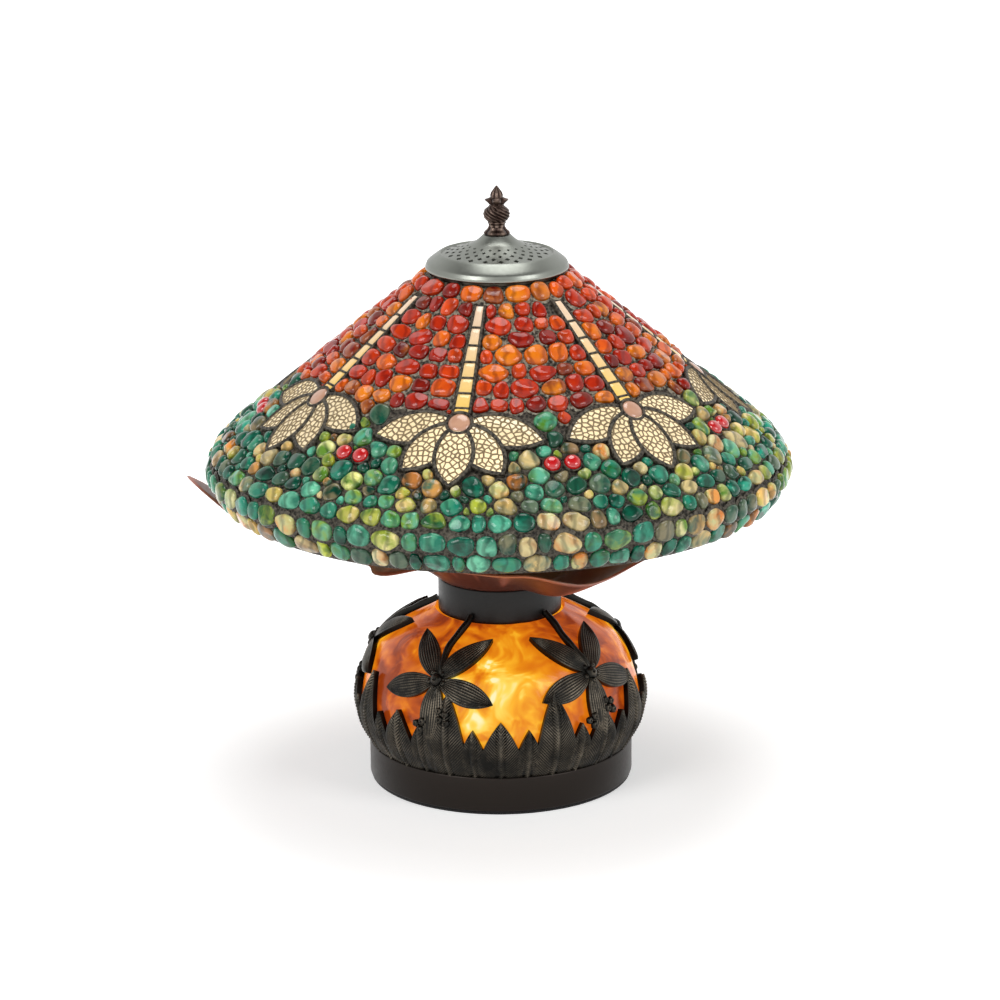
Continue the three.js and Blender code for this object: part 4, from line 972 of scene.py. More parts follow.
def backs_finish():
    made, tree, surface = finish("lit_backs", Roughness=0.4, Emission_Strength=0.35)
    place = object_place(tree)
    cells = put(tree, "ShaderNodeTexVoronoi", {"Vector": place, "Scale": backs_scale})
    edges = put(tree, "ShaderNodeTexVoronoi", {"Vector": place, "Scale": backs_scale},
                feature="DISTANCE_TO_EDGE")
    axes = axes_of(tree, place)
    flat = put(tree, "ShaderNodeCombineXYZ", {"X": axes["X"], "Y": axes["Y"]}).outputs[0]
    share = ranged(tree, length_of(tree, flat), crown_circle[0] * mm, shade_radius * mm)
    vary = ranged(tree, cells.outputs["Color"], 0, 1, 0.55, 1.1)
    shade = vector_calc(tree, "SCALE", coloured(tree, share, backs_zones, "CONSTANT"), vary)
    line = ranged(tree, edges.outputs["Distance"], 0.06, 0.1)
    colour = mixed(tree, line, backs_line, shade)
    wire_up(tree, surface, Base_Color=colour, Emission_Color=colour,
            Normal=bump(tree, line, 0.6, 0.8, invert=True))
    return made


backs = layer("stone_backs", shell_inner - backs_thickness, shell_inner)
fit(backs, backs_finish(), "shade", "lead_grey")

# Seven stems of cream glass run down the cone, each cut in short tapered lengths with a solder
# line round each of them, and end in the heart of a hanging blossom.
flower_count = 7
flower_turn_share = 0.79
flower_radius = 0.711 * brim_circle[0]
stem_start = crown_circle[0] + 14
stem_wide = 10
stem_narrow = 5
stem_pieces = 7
stem_growth = 0.85
stem_foot = 8
panel_gap = 1.5
stem_tint_start = 12
cross_bead = (1.7, 0.9)
side_bead = (2.4, 1.3)
stem_rise = 1.2
stem_depth = 5
pane_sink = 2.6
half_round = [(-1.1, -1.6), (-1, 0), (-0.8, 0.62), (0, 1), (0.8, 0.62), (1, 0), (1.1, -1.6)]


def flower_azimuth(i):
    return -turn / 4 + (i + flower_turn_share) * turn / flower_count


def cone_placer(azimuth, radius, spin=0):
    """Lays flat outlines on the cone: y runs up it, after a turn by spin, and lift stands off it."""
    out = Vector(polar(math.cos(cone_tilt), azimuth, math.sin(cone_tilt)))
    side = Vector((-math.sin(azimuth), math.cos(azimuth), 0))
    up = out.cross(side)
    centre = Vector(polar(radius, azimuth, cone_height(radius)))

    def place(x, y, lift):
        across = x * math.cos(spin) - y * math.sin(spin)
        flat = side * across + up * (x * math.sin(spin) + y * math.cos(spin))
        point = centre + flat
        for _ in range(3):
            reach = math.hypot(point.x, point.y)
            slack = (reach - brim_circle[0]) * math.cos(cone_tilt)
            slack += (point.z - brim_circle[1]) * math.sin(cone_tilt)
            local = Vector((point.x / reach * math.cos(cone_tilt), point.y / reach * math.cos(cone_tilt),
                            math.sin(cone_tilt)))
            point -= out * ((slack - lift) / local.dot(out))
        return tuple(point)
    return place


def ribbon(store, line, width, height, place, base, closed=False, section=half_round):
    """A bead of solder or a wire laid along flat points, rounded above."""
    points, faces = store[0], store[1]
    first, count, size = len(points), len(line), len(section)
    for j, (x, y) in enumerate(line):
        before = line[j - 1] if closed or j else line[0]
        after = line[(j + 1) % count] if closed or j < count - 1 else line[-1]
        along = Vector((after[0] - before[0], after[1] - before[1])).normalized()
        for across, rise in section:
            reach = across * width / 2
            lift = base(x, y) if callable(base) else base
            points.append(place(x - along.y * reach, y + along.x * reach, lift + rise * height))
    faces += tube_faces(count, size, first, closed)
    if not closed:
        faces += [tuple(range(end, end + size)) for end in (first, first + (count - 1) * size)]


def pane_relief(rise):
    def relief(u, v, x, y):
        edge = min(1 - abs(u) ** 8, 1 - abs(2 * v - 1) ** 14)
        return rise * (0.35 + 0.65 * max(0, edge)) - pane_sink, max(0, edge)
    return relief


def stem_half_width(share):
    return (stem_wide + (stem_narrow - stem_wide) * share) / 2


def flower_stem(glass, lead, i):
    length = (flower_radius - stem_start) / math.sin(cone_tilt)
    place = cone_placer(flower_azimuth(i), flower_radius)
    shares = [(k / stem_pieces) ** stem_growth for k in range(stem_pieces + 1)]
    for k in range(stem_pieces):
        top, bottom = length * (1 - shares[k]), length * (1 - shares[k + 1])
        if k == stem_pieces - 1:
            bottom = stem_foot
        start, span = bottom + panel_gap / 2, top - bottom - panel_gap
        leaf_shell(glass, lambda v, b=start, s=span: stem_half_width((b + v * s) / length), span, 8, 6,
                   lambda x, y, lift, b=start: place(x, y + b, lift), pane_relief(stem_rise), stem_depth)
        half = stem_half_width(bottom / length)
        ribbon(lead, [(-half, bottom), (0, bottom), (half, bottom)], *cross_bead, place, -2.0)
    for side in (-1, 1):
        steps = 14
        heights = [stem_foot + (length - stem_foot) * j / steps for j in range(steps + 1)]
        line = [(side * (stem_half_width(y / length) + 0.9), y) for y in heights]
        ribbon(lead, line, *side_bead, place, -2.8)


def pane_finish(name, base, streak, glow, strength, low_tint=None):
    """Streaky opalescent glass, lit softly from behind, and tinted towards the stems' feet if asked."""
    made, tree, surface = finish(name, Roughness=0.14, Coat_Weight=0.5)
    place = object_place(tree)
    cloud = clouds(tree, place, 90.0, 5.0, Distortion=1.2)["Fac"]
    patch = clouds(tree, place, 16.0)["Fac"]
    colour, lit = mixed(tree, cloud, base, streak), mixed(tree, cloud, glow, base)
    if low_tint:
        down = ranged(tree, axes_of(tree, place)["Z"], cone_height(flower_radius) * mm,
                      cone_height(stem_start + stem_tint_start) * mm, 1, 0)
        colour, lit = (mixed(tree, down, plain, low_tint) for plain in (colour, lit))
    wire_up(tree, surface, Base_Color=colour, Emission_Color=lit,
            Emission_Strength=ranged(tree, patch, 0.35, 0.65, 0.5 * strength, 1.5 * strength),
            Normal=bump(tree, cloud, 0.25, 0.4))
    return made


cream_pane = pane_finish("cream_pane", tone(232, 206, 176), tone(226, 192, 160), tone(248, 222, 180), 0.16,
                         low_tint=tone(248, 204, 96))
for i in range(flower_count):
    stem_glass, stem_lead = ([], [], []), ([], [])
    flower_stem(stem_glass, stem_lead, i)
    stem = build(f"stem_panes_{i + 1}", stem_glass[0], stem_glass[1], crease=50)
    fit(stem, cream_pane, "shade", "cream_glass", f"flower_stem_{i + 1}")
    fit(build(f"stem_lead_{i + 1}", *stem_lead, crease=60), dark_solder, "shade", "lead_grey")

# Five petals hang in a fan from each stem's foot. Each is a pane of cream glass under an etched brass
# net and inside a solder outline, and the middle one lies over those beside it.
petal_lengths = {0: 51, 1: 51, -1: 51, 2: 58, -2: 58}
fan_width = 27
fan_angle = math.radians(42)
heart_radius = 9
pane_lift = {0: -2.1, 1: -2.5, 2: -2.9}
pane_crown = 0.5
outline_bead = (3.0, 1.5)
pane_depth = 4.6
cell_length = 5.2
cell_width = 3.0
wire_width = 1.25
wire_section = [(-1, 0), (0, 1), (1, 0), (0, -0.5)]
exact_half = petal_half_width(fan_width, 0.26)
half_steps = 60
half_table = [exact_half(j / half_steps) for j in range(half_steps + 1)]


def pane_half_width(share):
    place = min(max(share, 0), 1) * half_steps
    j = min(int(place), half_steps - 1)
    return half_table[j] + (half_table[j + 1] - half_table[j]) * (place - j)


def on_petal(x, y, k):
    """Where a point of the flower's plane lies on one petal: across it, and along it from its root."""
    lean = math.pi + k * fan_angle
    return x * math.cos(lean) + y * math.sin(lean), y * math.cos(lean) - x * math.sin(lean)


def off_petal(across, along, k):
    """The same point of the flower's plane, from its place on a petal."""
    lean = math.pi + k * fan_angle
    return across * math.cos(lean) - along * math.sin(lean), across * math.sin(lean) + along * math.cos(lean)


def petal_gap(x, y, k):
    """How far outside one petal a point lies, or less than nothing inside it."""
    across, along = on_petal(x, y, k)
    length = petal_lengths[k]
    if along < 0 or along > length:
        return math.hypot(across, along - min(max(along, 0), length))
    return 0.9 * (abs(across) - pane_half_width(along / length))


def petal_shows(across, along, k, margin):
    """Whether a place on a petal is clear of the heart and of the petals that lie over it."""
    x, y = off_petal(across, along, k)
    over = [other for other in petal_lengths if abs(other) < abs(k)]
    return math.hypot(x, y) > heart_radius + margin and all(petal_gap(x, y, n) > margin for n in over)


def circumcentre(a, b, c):
    d = 2 * (a.x * (b.y - c.y) + b.x * (c.y - a.y) + c.x * (a.y - b.y))
    if abs(d) < 1e-6:
        return (a + b + c) / 3
    squares = a.length_squared, b.length_squared, c.length_squared
    return Vector(((squares[0] * (b.y - c.y) + squares[1] * (c.y - a.y) + squares[2] * (a.y - b.y)) / d,
                   (squares[0] * (c.x - b.x) + squares[1] * (a.x - c.x) + squares[2] * (b.x - a.x)) / d))


def net_lines(k, seed):
    """The net on one petal: the borders of cells round scattered seeds, kept where the petal shows."""
    scatter = random.Random(seed)
    length = petal_lengths[k]
    seeds = []
    for row in range(int(fan_width / cell_width) + 4):
        for column in range(int(length / cell_length) + 4):
            across = (row - 1.5) * cell_width - fan_width / 2 + scatter.uniform(-0.3, 0.3) * cell_width
            along = (column - 1.5 + row % 2 / 2) * cell_length + scatter.uniform(-0.4, 0.4) * cell_length
            seeds.append(Vector((across, along)))
    corners, _, triangles = geometry.delaunay_2d_cdt(seeds, [], [], 0, 1e-5)[:3]
    centres = [circumcentre(*(corners[c] for c in triangle)) for triangle in triangles]

    def inside(point):
        if not 1 < point.y < length - 1.2 or abs(point.x) > pane_half_width(point.y / length) - 0.7:
            return False
        return petal_shows(point.x, point.y, k, 1.0)

    owners, lines = {}, []
    for t, triangle in enumerate(triangles):
        for a, b in zip(triangle, (*triangle[1:], triangle[0])):
            border = (min(a, b), max(a, b))
            if border not in owners:
                owners[border] = t
                continue
            near, far = centres[owners[border]], centres[t]
            if not inside(near):
                near, far = far, near
            if not inside(near) or (far - near).length < 0.2:
                continue
            if not inside(far):
                kept = near
                for _ in range(7):
                    middle = (kept + far) / 2
                    kept, far = (middle, far) if inside(middle) else (kept, middle)
                far = kept
            lines.append((near, far, scatter.uniform(0.75, 1.25)))
    return lines


def petal_outline(k):
    """The petal's edge as runs of flat points, left out where another petal lies over it."""
    length, steps = petal_lengths[k], 30
    edge = [(-pane_half_width(j / steps), length * j / steps) for j in range(1, steps + 1)]
    edge += [(pane_half_width(j / steps), length * j / steps) for j in range(steps - 1, 0, -1)]
    runs, run = [], []
    for point in edge:
        if petal_shows(*point, k, 0.2):
            run.append(point)
            continue
        runs.append(run)
        run = []
    return [kept for kept in [*runs, run] if len(kept) > 1]


def fan(panes, lead, net, i):
    for k, length in petal_lengths.items():
        place = cone_placer(flower_azimuth(i), flower_radius, math.pi + k * fan_angle)
        base = pane_lift[abs(k)]

        def crown(x, y, base=base, length=length):
            return base + pane_crown * (1 - min(1, abs(x) / max(pane_half_width(y / length), 0.5)) ** 2)

        leaf_shell(panes, pane_half_width, length, 10, 26, place,
                   lambda u, v, x, y, crown=crown: (crown(x, y), 1.0), pane_depth)
        for run in petal_outline(k):
            ribbon(lead, run, *outline_bead, place, base)
        for near, far, thick in net_lines(k, 10 * i + k):
            ribbon(net, [tuple(near), tuple(far)], wire_width * thick, 0.5, place,
                   lambda x, y, crown=crown: crown(x, y) + 0.1, section=wire_section)


petal_glass = pane_finish("petal_glass", tone(248, 230, 190), tone(236, 210, 160), tone(252, 232, 188), 0.4)
net_brass = aged_metal("net_brass", metallic=0.25, grain=0.1, Color=tone(150, 130, 94),
                       Worn=tone(196, 176, 134), Dirt=tone(106, 88, 62), Scale=60.0, Cloud=0.6, Wear=0.3,
                       Roughness=0.42)
for i in range(flower_count):
    fan_panes, fan_lead, fan_net = ([], [], []), ([], []), ([], [])
    fan(fan_panes, fan_lead, fan_net, i)
    panes = build(f"petal_panes_{i + 1}", fan_panes[0], fan_panes[1], crease=50)
    fit(panes, petal_glass, "shade", "cream_glass", f"flower_fan_{i + 1}")
    fit(build(f"petal_lead_{i + 1}", *fan_lead, crease=60), dark_solder, "shade", "lead_grey")
    fit(build(f"petal_net_{i + 1}", *fan_net, crease=30), net_brass, "shade", "cream_glass")

# The heart of each blossom is a domed piece of peach glass in a ring of solder. The dome is drawn in
# rings from its foot up, each with its share of the dome's radius and of its height.
heart_bead = (2.4, 1.6)
dome_shares = [(1.0, -0.6), (1.0, 0.0), (0.985, 0.25), (0.93, 0.5), (0.8, 0.74), (0.6, 0.9), (0.34, 0.98)]


def dome(store, place, x, y, radius, base, height, sides=28):
    """A smooth round dome of glass."""
    points, faces = store[0], store[1]
    first = len(points)
    for share, rise in dome_shares:
        for i in range(sides):
            angle = turn * i / sides
            points.append(place(x + radius * share * math.cos(angle), y + radius * share * math.sin(angle),
                                base + height * rise))
    points.append(place(x, y, base + height))
    faces += dome_faces(len(dome_shares), sides, first)


def circle(x, y, radius, sides=28):
    return [(x + radius * math.cos(turn * i / sides), y + radius * math.sin(turn * i / sides))
            for i in range(sides)]


peach_glass = pane_finish("peach_glass", tone(214, 170, 142), tone(186, 132, 104), tone(222, 160, 118), 0.08)
hearts, rings = ([], []), ([], [])
for i in range(flower_count):
    place = cone_placer(flower_azimuth(i), flower_radius)
    dome(hearts, place, 0, 0, heart_radius - 1.2, -3.2, 2.9)
    ribbon(rings, circle(0, 0, heart_radius - 0.4), *heart_bead, place, -2.2, closed=True)

# Pairs of round red jewels hang between the blossoms like berries, each in its own ring of solder.
jewel_radius = 6
jewel_spacing = 14
jewel_bead = (1.8, 1.4)
jewel_circle = 0.843 * brim_circle[0]
jewels = ([], [])
for i in range(flower_count):
    place = cone_placer(flower_azimuth(i + 0.5), jewel_circle)
    for side in (-1, 1):
        x = side * jewel_spacing / 2
        dome(jewels, place, x, 0, jewel_radius - 0.3, -3.6, 4.4)
        ribbon(rings, circle(x, 0, jewel_radius + 0.2), *jewel_bead, place, -3.7, closed=True)
jewel_glass = lit_glass("red_jewel_glass", 220.0, tone(150, 8, 16), tone(216, 24, 28), Roughness=0.05,
                        Coat_Weight=1.0, Emission_Strength=0.25)
fit(build("blossom_hearts", *hearts), peach_glass, "shade", "cream_glass")
fit(build("berry_jewels", *jewels), jewel_glass, "shade", "red_glass",
    *(f"jewel_pair_{i + 1}" for i in range(flower_count)))
fit(build("heart_rings", *rings, crease=60), dark_solder, "shade", "lead_grey")

# Some 870 tumbled agates cover the rest of the shade: red and orange ones round the crown,
# green and cream ones in four rings up from the rim, and small ones between the blossoms. Each is
# picked to fit the hole that its neighbours leave, and stands out of the solder that runs round it.
red_row_pitch = 10.3
red_row_first = crown_circle[0] + 3.4
red_row_count = 8
red_stone_width = 15.2
rim_rows = [(9.2, 16.5), (25.6, 16.0), (38.8, 13.6), (50.4, 11.6)]
rim_stone_width = 15.4
gap_sizes = [13.5, 12, 10.5, 9.2, 8, 7, 6]
gap_start = red_row_first + (red_row_count - 0.45) * red_row_pitch
warm_end = flower_radius - 4
solder_gap = 0.7
panel_clearance = 1.8
rim_clearance = 1.6
crown_clearance = 0.5
stem_margin = 1.9
width_scatter = (0.6, 1.45)
row_scatter = 2.0
red_stone_tall = (9.5, 16)
rim_scatter = 1.1
gap_step_round = 2.4
gap_step_down = 1.7
gap_clearance = 0.4
gap_overlap = 0.2
flower_reach = 75
stop_reach_squared = 150
stone_reach_share = 0.62
least_reach = 1.2
least_room = 1.6
outline_count = 24
petal_marks = 36
stem_marks = 44
search = 26
grain_reach = 9
stone_sink = -0.7
stone_stand = 5.3
stone_rings = 7
stone_least_height = 2.2
stone_lean = 0.14
top_spot_share = 0.7
ridge_lumps = 0.55
ridge_lump_pitch_share = 0.7
bare_arc = rim_rows[-1][0] + 7
solder_ridge = [(-0.9, 1.5), (-0.15, 1.55), (0.45, 1.1), (1.1, 0.75), (1.9, 0.2), (-0.9, -0.6)]
bed_line = offset(shade_line, -stone_height)
bed_curve = [Vector(bed_line[0]), *(Vector(p) for p in rounded(bed_line, 9, 8)[9:-9]), Vector(bed_line[-1])]
bed_arcs = [0]
for a, b in zip(bed_curve, bed_curve[1:]):
    bed_arcs.append(bed_arcs[-1] + (b - a).length)


def shade_spot(azimuth, arc):
    """The frame of a stone, square to the bed and so far up from the rim: middle, side, up and out."""
    k = next((n for n, reached in enumerate(bed_arcs) if reached >= arc and n), len(bed_arcs) - 1)
    along = (bed_curve[k] - bed_curve[k - 1]).normalized()
    point = bed_curve[k - 1] + along * (arc - bed_arcs[k - 1])
    side = Vector((-math.sin(azimuth), math.cos(azimuth), 0))
    level = Vector(polar(1, azimuth, 0))
    up = level * along.x + Vector((0, 0, along.y))
    out = level * along.y - Vector((0, 0, along.x))
    return level * point.x + Vector((0, 0, point.y)), side, up, out


def cone_arc(radius):
    """How far up the bed's outline a circle of the cone lies."""
    return bed_arcs[-1] - (radius - bed_curve[-1].x) / math.sin(cone_tilt)


def spread(start, end, radius, shape, width):
    """Stones of uneven width that fill a stretch of a ring: the middle and the width of each."""
    stretch = (end - start) * radius
    count = max(1, round(stretch / width))
    parts = [shape.uniform(*width_scatter) for _ in range(count)]
    scale = stretch / sum(parts)
    filled, made = start * radius, []
    for part in parts:
        made.append(((filled + part * scale / 2) / radius, part * scale))
        filled += part * scale
    return made


class Spot:
    """Where a stone sits: its azimuth, how far up the bed it is, its rough size and its colour."""

    def __init__(self, azimuth, arc, width, tall, warm):
        self.azimuth, self.arc, self.width, self.tall, self.warm = azimuth, arc, width, tall, warm
        self.outline = []
        self.settle()

    def settle(self):
        self.middle, self.side, self.up, self.out = shade_spot(self.azimuth, self.arc)

    def flat(self, point):
        """Where a point lies in the stone's own plane: across it, and up it."""
        apart = point - self.middle
        return apart.dot(self.side), apart.dot(self.up)


def red_spots(shape):
    spots = []
    for row in range(red_row_count):
        radius = red_row_first + row * red_row_pitch
        if radius < stem_start:
            start = shape.uniform(0, 1)
            stretches = [(start, start + turn)]
        else:
            share = (flower_radius - radius) / (flower_radius - stem_start)
            margin = (stem_half_width(share) + stem_margin) / radius
            stretches = [(flower_azimuth(i) + margin, flower_azimuth(i + 1) - margin)
                         for i in range(flower_count)]
        for start, end in stretches:
            for azimuth, width in spread(start, end, radius, shape, red_stone_width):
                arc = cone_arc(radius) + shape.uniform(-row_scatter, row_scatter)
                spots.append(Spot(azimuth, arc, width, shape.uniform(*red_stone_tall), True))
    return spots


def rim_spots(shape):
    spots = []
    for arc, tall in rim_rows:
        start = shape.uniform(0, 1)
        radius = shade_spot(0, arc)[0].x
        for azimuth, width in spread(start, start + turn, radius, shape, rim_stone_width):
            own_arc = arc + shape.uniform(-rim_scatter, rim_scatter)
            spots.append(Spot(azimuth, own_arc, width, tall * shape.uniform(0.9, 1.1), False))
    return spots


def panel_edges():
    """Points along the edges of the stems, petals, hearts and jewels, which the stones stay clear of."""
    edges = []
    base = -stone_height
    for i in range(flower_count):
        place = cone_placer(flower_azimuth(i), flower_radius)
        for k, length in petal_lengths.items():
            for share in (j / petal_marks for j in range(petal_marks + 1)):
                for side in (-1, 1):
                    flat = off_petal(side * (pane_half_width(share) + 0.6), length * share, k)
                    edges.append(place(*flat, base))
        length = (flower_radius - stem_start) / math.sin(cone_tilt)
        for share in (j / stem_marks for j in range(stem_marks + 1)):
            edges += [place(side * (stem_half_width(share) + 0.5), length * share, base) for side in (-1, 1)]
        edges += [place(x, y, base) for x, y in circle(0, 0, heart_radius, 24)]
        place = cone_placer(flower_azimuth(i + 0.5), jewel_circle)
        for side in (-1, 1):
            ring = circle(side * jewel_spacing / 2, 0, jewel_radius - 0.2, 20)
            edges += [place(x, y, base) for x, y in ring]
    return [Vector(edge) for edge in edges]


def cube_of(point):
    """The cube of space that a point lies in."""
    return tuple(int(c // search) for c in point)


def by_place(points):
    """The points sorted into cubes of space, to find the near ones fast."""
    cubes = {}
    for item, point in points:
        cubes.setdefault(cube_of(point), []).append((item, point))
    return cubes


def near_ones(cubes, point):
    x, y, z = cube_of(point)
    for dx in (-1, 0, 1):
        for dy in (-1, 0, 1):
            for dz in (-1, 0, 1):
                yield from cubes.get((x + dx, y + dy, z + dz), ())


def flower_place(azimuth, radius, i):
    """Where a place on the cone lies in the plane of one flower, measured from its heart."""
    return away_from(azimuth, flower_azimuth(i)) * radius, (flower_radius - radius) / math.sin(cone_tilt)


def room_at(azimuth, radius):
    """How far a place on the cone is from the nearest stem, petal, heart or jewel."""
    room = 20.0
    for i in range(flower_count):
        x, y = flower_place(azimuth, radius, i)
        if abs(x) < flower_reach:
            room = min(room, math.hypot(x, y) - heart_radius, *(petal_gap(x, y, k) for k in petal_lengths))
            if y > 0:
                room = min(room, abs(x) - stem_half_width(0) - 0.6)
        x = away_from(azimuth, flower_azimuth(i + 0.5)) * radius
        y = (jewel_circle - radius) / math.sin(cone_tilt)
        for side in (-1, 1):
            room = min(room, math.hypot(x - side * jewel_spacing / 2, y) - jewel_radius)
    return room


def gap_spots(shape, placed):
    """Places for the small stones, biggest first, wherever the panels and other stones leave room."""
    places = []
    radius = gap_start
    while radius < brim_circle[0] - 4:
        count = int(turn * radius / gap_step_round)
        for k in range(count):
            azimuth = turn * (k + shape.random()) / count
            room = room_at(azimuth, radius) - gap_clearance
            if room > gap_sizes[-1] / 2:
                point = shade_spot(azimuth, cone_arc(radius))[0]
                places.append((azimuth, radius, room, point))
        radius += gap_step_down
    shape.shuffle(places)
    cubes = by_place([(min(spot.width, spot.tall), spot.middle) for spot in placed])
    kept = []
    for size in gap_sizes:
        for azimuth, radius, room, point in places:
            if room < size / 2 - gap_clearance:
                continue
            near = near_ones(cubes, point)
            if all((point - place).length > (size + other) / 2 - gap_overlap for other, place in near):
                cubes.setdefault(cube_of(point), []).append((size, point))
                kept.append(Spot(azimuth, cone_arc(radius), size, size, radius < warm_end))
    return kept


def borders_of(spot, neighbours):
    """The lines that a stone stays behind: a way out from its middle, and how far off the line is."""
    borders = []
    for other, point in neighbours:
        x, y = spot.flat(point)
        distance = math.hypot(x, y)
        if other is spot or distance > search:
            continue
        angle = abs(math.atan2(y, x))
        own = abs(math.cos(angle)) * spot.width + abs(math.sin(angle)) * spot.tall
        its = abs(math.cos(angle)) * other.width + abs(math.sin(angle)) * other.tall
        borders.append((x / distance, y / distance, distance * own / (own + its) - solder_gap / 2))
    return [*borders, (0, -1, spot.arc - rim_clearance), (0, 1, bed_arcs[-1] - spot.arc - crown_clearance)]


def fit_outline(spot, neighbours, marks):
    """The stone's outline: as far as halfway to its neighbours and up to the panels, well rounded."""
    borders = borders_of(spot, neighbours)
    stops = [spot.flat(point) for _, point in marks]
    stops = [(x, y) for x, y in stops if x * x + y * y < stop_reach_squared]
    reaches = []
    for i in range(outline_count):
        angle = turn * i / outline_count
        c, s = math.cos(angle), math.sin(angle)
        reach = stone_reach_share * (abs(c) * spot.width + abs(s) * spot.tall)
        for x, y, border in borders:
            along = x * c + y * s
            if along > 0.1:
                reach = min(reach, border / along)
        for x, y in stops:
            along = x * c + y * s
            aside = x * x + y * y - along * along
            if along > 0 and aside < panel_clearance**2:
                reach = min(reach, along - math.sqrt(panel_clearance**2 - aside))
        reaches.append(max(reach, least_reach))
    low = [min(reaches[i - 1], reaches[i], reaches[(i + 1) % outline_count]) for i in range(outline_count)]
    reaches = [(low[i - 1] + 2 * low[i] + low[(i + 1) % outline_count]) / 4 for i in range(outline_count)]
    spot.outline = [(reach * math.cos(turn * i / outline_count), reach * math.sin(turn * i / outline_count))
                    for i, reach in enumerate(reaches)]


def pack_stones():
    """Every spot with an outline that fits, after the small stones have moved to the middle of their room."""
    shape = random.Random(29)
    fixed = red_spots(shape) + rim_spots(shape)
    loose = gap_spots(shape, fixed)
    marks = by_place([(None, edge) for edge in panel_edges()])
    for step in range(3):
        cubes = by_place([(spot, spot.middle) for spot in fixed + loose])
        for spot in fixed + loose if step == 2 else loose:
            fit_outline(spot, near_ones(cubes, spot.middle), near_ones(marks, spot.middle))
        if step == 2:
            break
        for spot in loose:
            weight = sum(x * x + y * y for x, y in spot.outline)
            shift_x = sum(x * math.hypot(x, y) ** 2 for x, y in spot.outline) / weight * 2 / 3
            shift_y = sum(y * math.hypot(x, y) ** 2 for x, y in spot.outline) / weight * 2 / 3
            spot.azimuth += shift_x / spot.middle.xy.length
            spot.arc += shift_y
            spot.settle()
            spot.width = spot.tall = math.sqrt(weight / outline_count) * 2.2
    stand_off = stone_height * math.cos(cone_tilt)
    return fixed + [spot for spot in loose
                    if room_at(spot.azimuth, spot.middle.xy.length + stand_off) > least_room]


def stone(store, spot, shape):
    """A tumbled stone, uneven and rounded, and leaning or worn flat on one side."""
    points, faces, picks, grains, rises = store
    first, count = len(points), outline_count
    size = math.sqrt(sum(x * x + y * y for x, y in spot.outline) / count)
    height = min(stone_stand, stone_least_height + size * shape.uniform(0.5, 0.62))
    if spot.arc > bare_arc:
        height += shape.uniform(0, 1.1)
    lean = Vector((shape.uniform(-1, 1), shape.uniform(-1, 1))) * stone_lean * size
    full = shape.uniform(2.0, 2.7)
    waves = [(n, shape.uniform(0, turn), shape.uniform(0.0, 0.06)) for n in (2, 3, 4)]
    worn = shape.uniform(0, turn)
    worn_height, worn_slope = height * shape.uniform(0.78, 1.1), shape.uniform(0.05, 0.4)
    rings = [(0.86, -0.1), (0.96, 0.1)]
    for j in range(stone_rings):
        angle = math.pi / 2 * j / stone_rings
        rings.append((math.cos(angle) ** (2 / full), 0.3 + 0.7 * math.sin(angle) ** (2 / full)))

    def put_point(x, y, lift):
        points.append(tuple(spot.middle + spot.side * x + spot.up * y + spot.out * lift))

    for share, rise in rings:
        for i, (x, y) in enumerate(spot.outline):
            uneven = 1 + max(0, rise) * sum(swell * math.cos(n * turn * i / count + start)
                                            for n, start, swell in waves)
            top = max(0, rise - 0.3)
            px, py = x * share * uneven + lean.x * top, y * share * uneven + lean.y * top
            flat = worn_height + worn_slope * (px * math.cos(worn) + py * math.sin(worn))
            put_point(px, py, stone_sink + min(height * rise, max(flat, height * 0.35)))
            rises.append(max(0, rise))
    flat = worn_height + worn_slope * top_spot_share * (lean.x * math.cos(worn) + lean.y * math.sin(worn))
    put_point(lean.x * top_spot_share, lean.y * top_spot_share, stone_sink + min(height, flat))
    rises.append(1.0)
    faces += dome_faces(len(rings), count, first)
    made = len(points) - first
    picks.extend([shape.random()] * made)
    grains.extend([tuple(shape.uniform(0, grain_reach) for _ in range(3))] * made)


def ridge(store, spot, shape):
    """The lumpy ridge of solder round a stone's foot."""
    points, faces = store
    first = len(points)
    seed = shape.uniform(0, 99)
    for x, y in spot.outline:
        reach = math.hypot(x, y)
        place = Vector((x * ridge_lump_pitch_share, y * ridge_lump_pitch_share, seed))
        lump = 1 + ridge_lumps * noise.noise(place)
        for push, rise in solder_ridge:
            wide = 1 + push * lump / reach
            points.append(tuple(spot.middle + spot.side * x * wide + spot.up * y * wide
                                + spot.out * (stone_sink + rise * lump)))
    faces += tube_faces(len(spot.outline), len(solder_ridge), first)


def agate_group():
    """Banded, clouded stone: mixes three colours by a grain that differs from stone to stone."""
    tree, given, out = group("agate", {
        "Own": (0.5, 0.5, 0.5, 1.0), "Other": (0.5, 0.5, 0.5, 1.0), "Dark": (0.1, 0.1, 0.1, 1.0),
        "Grain": (0.0, 0.0, 0.0),
    }, {"Color": "Color", "Height": "Float", "Glow": "Float"})
    place = vector_calc(tree, "ADD", object_place(tree), given["Grain"])
    cloud = clouds(tree, place, 80.0, 3.0, Distortion=0.6)
    banded = vector_calc(tree, "ADD", place, vector_calc(tree, "SCALE", cloud["Color"], 0.012))
    band = put(tree, "ShaderNodeTexWave", {"Vector": banded, "Scale": 38.0, "Distortion": 4.0, "Detail": 2.0})
    blotch = ranged(tree, cloud["Fac"], 0.38, 0.64)
    vein = ranged(tree, band.outputs["Fac"], 0.5, 1, 0, 0.5)
    blotched = mixed(tree, blotch, given["Own"], given["Other"])
    wire_up(tree, out, Color=mixed(tree, vein, blotched, given["Dark"]), Height=cloud["Fac"], Glow=blotch)
    return tree


agate = agate_group()


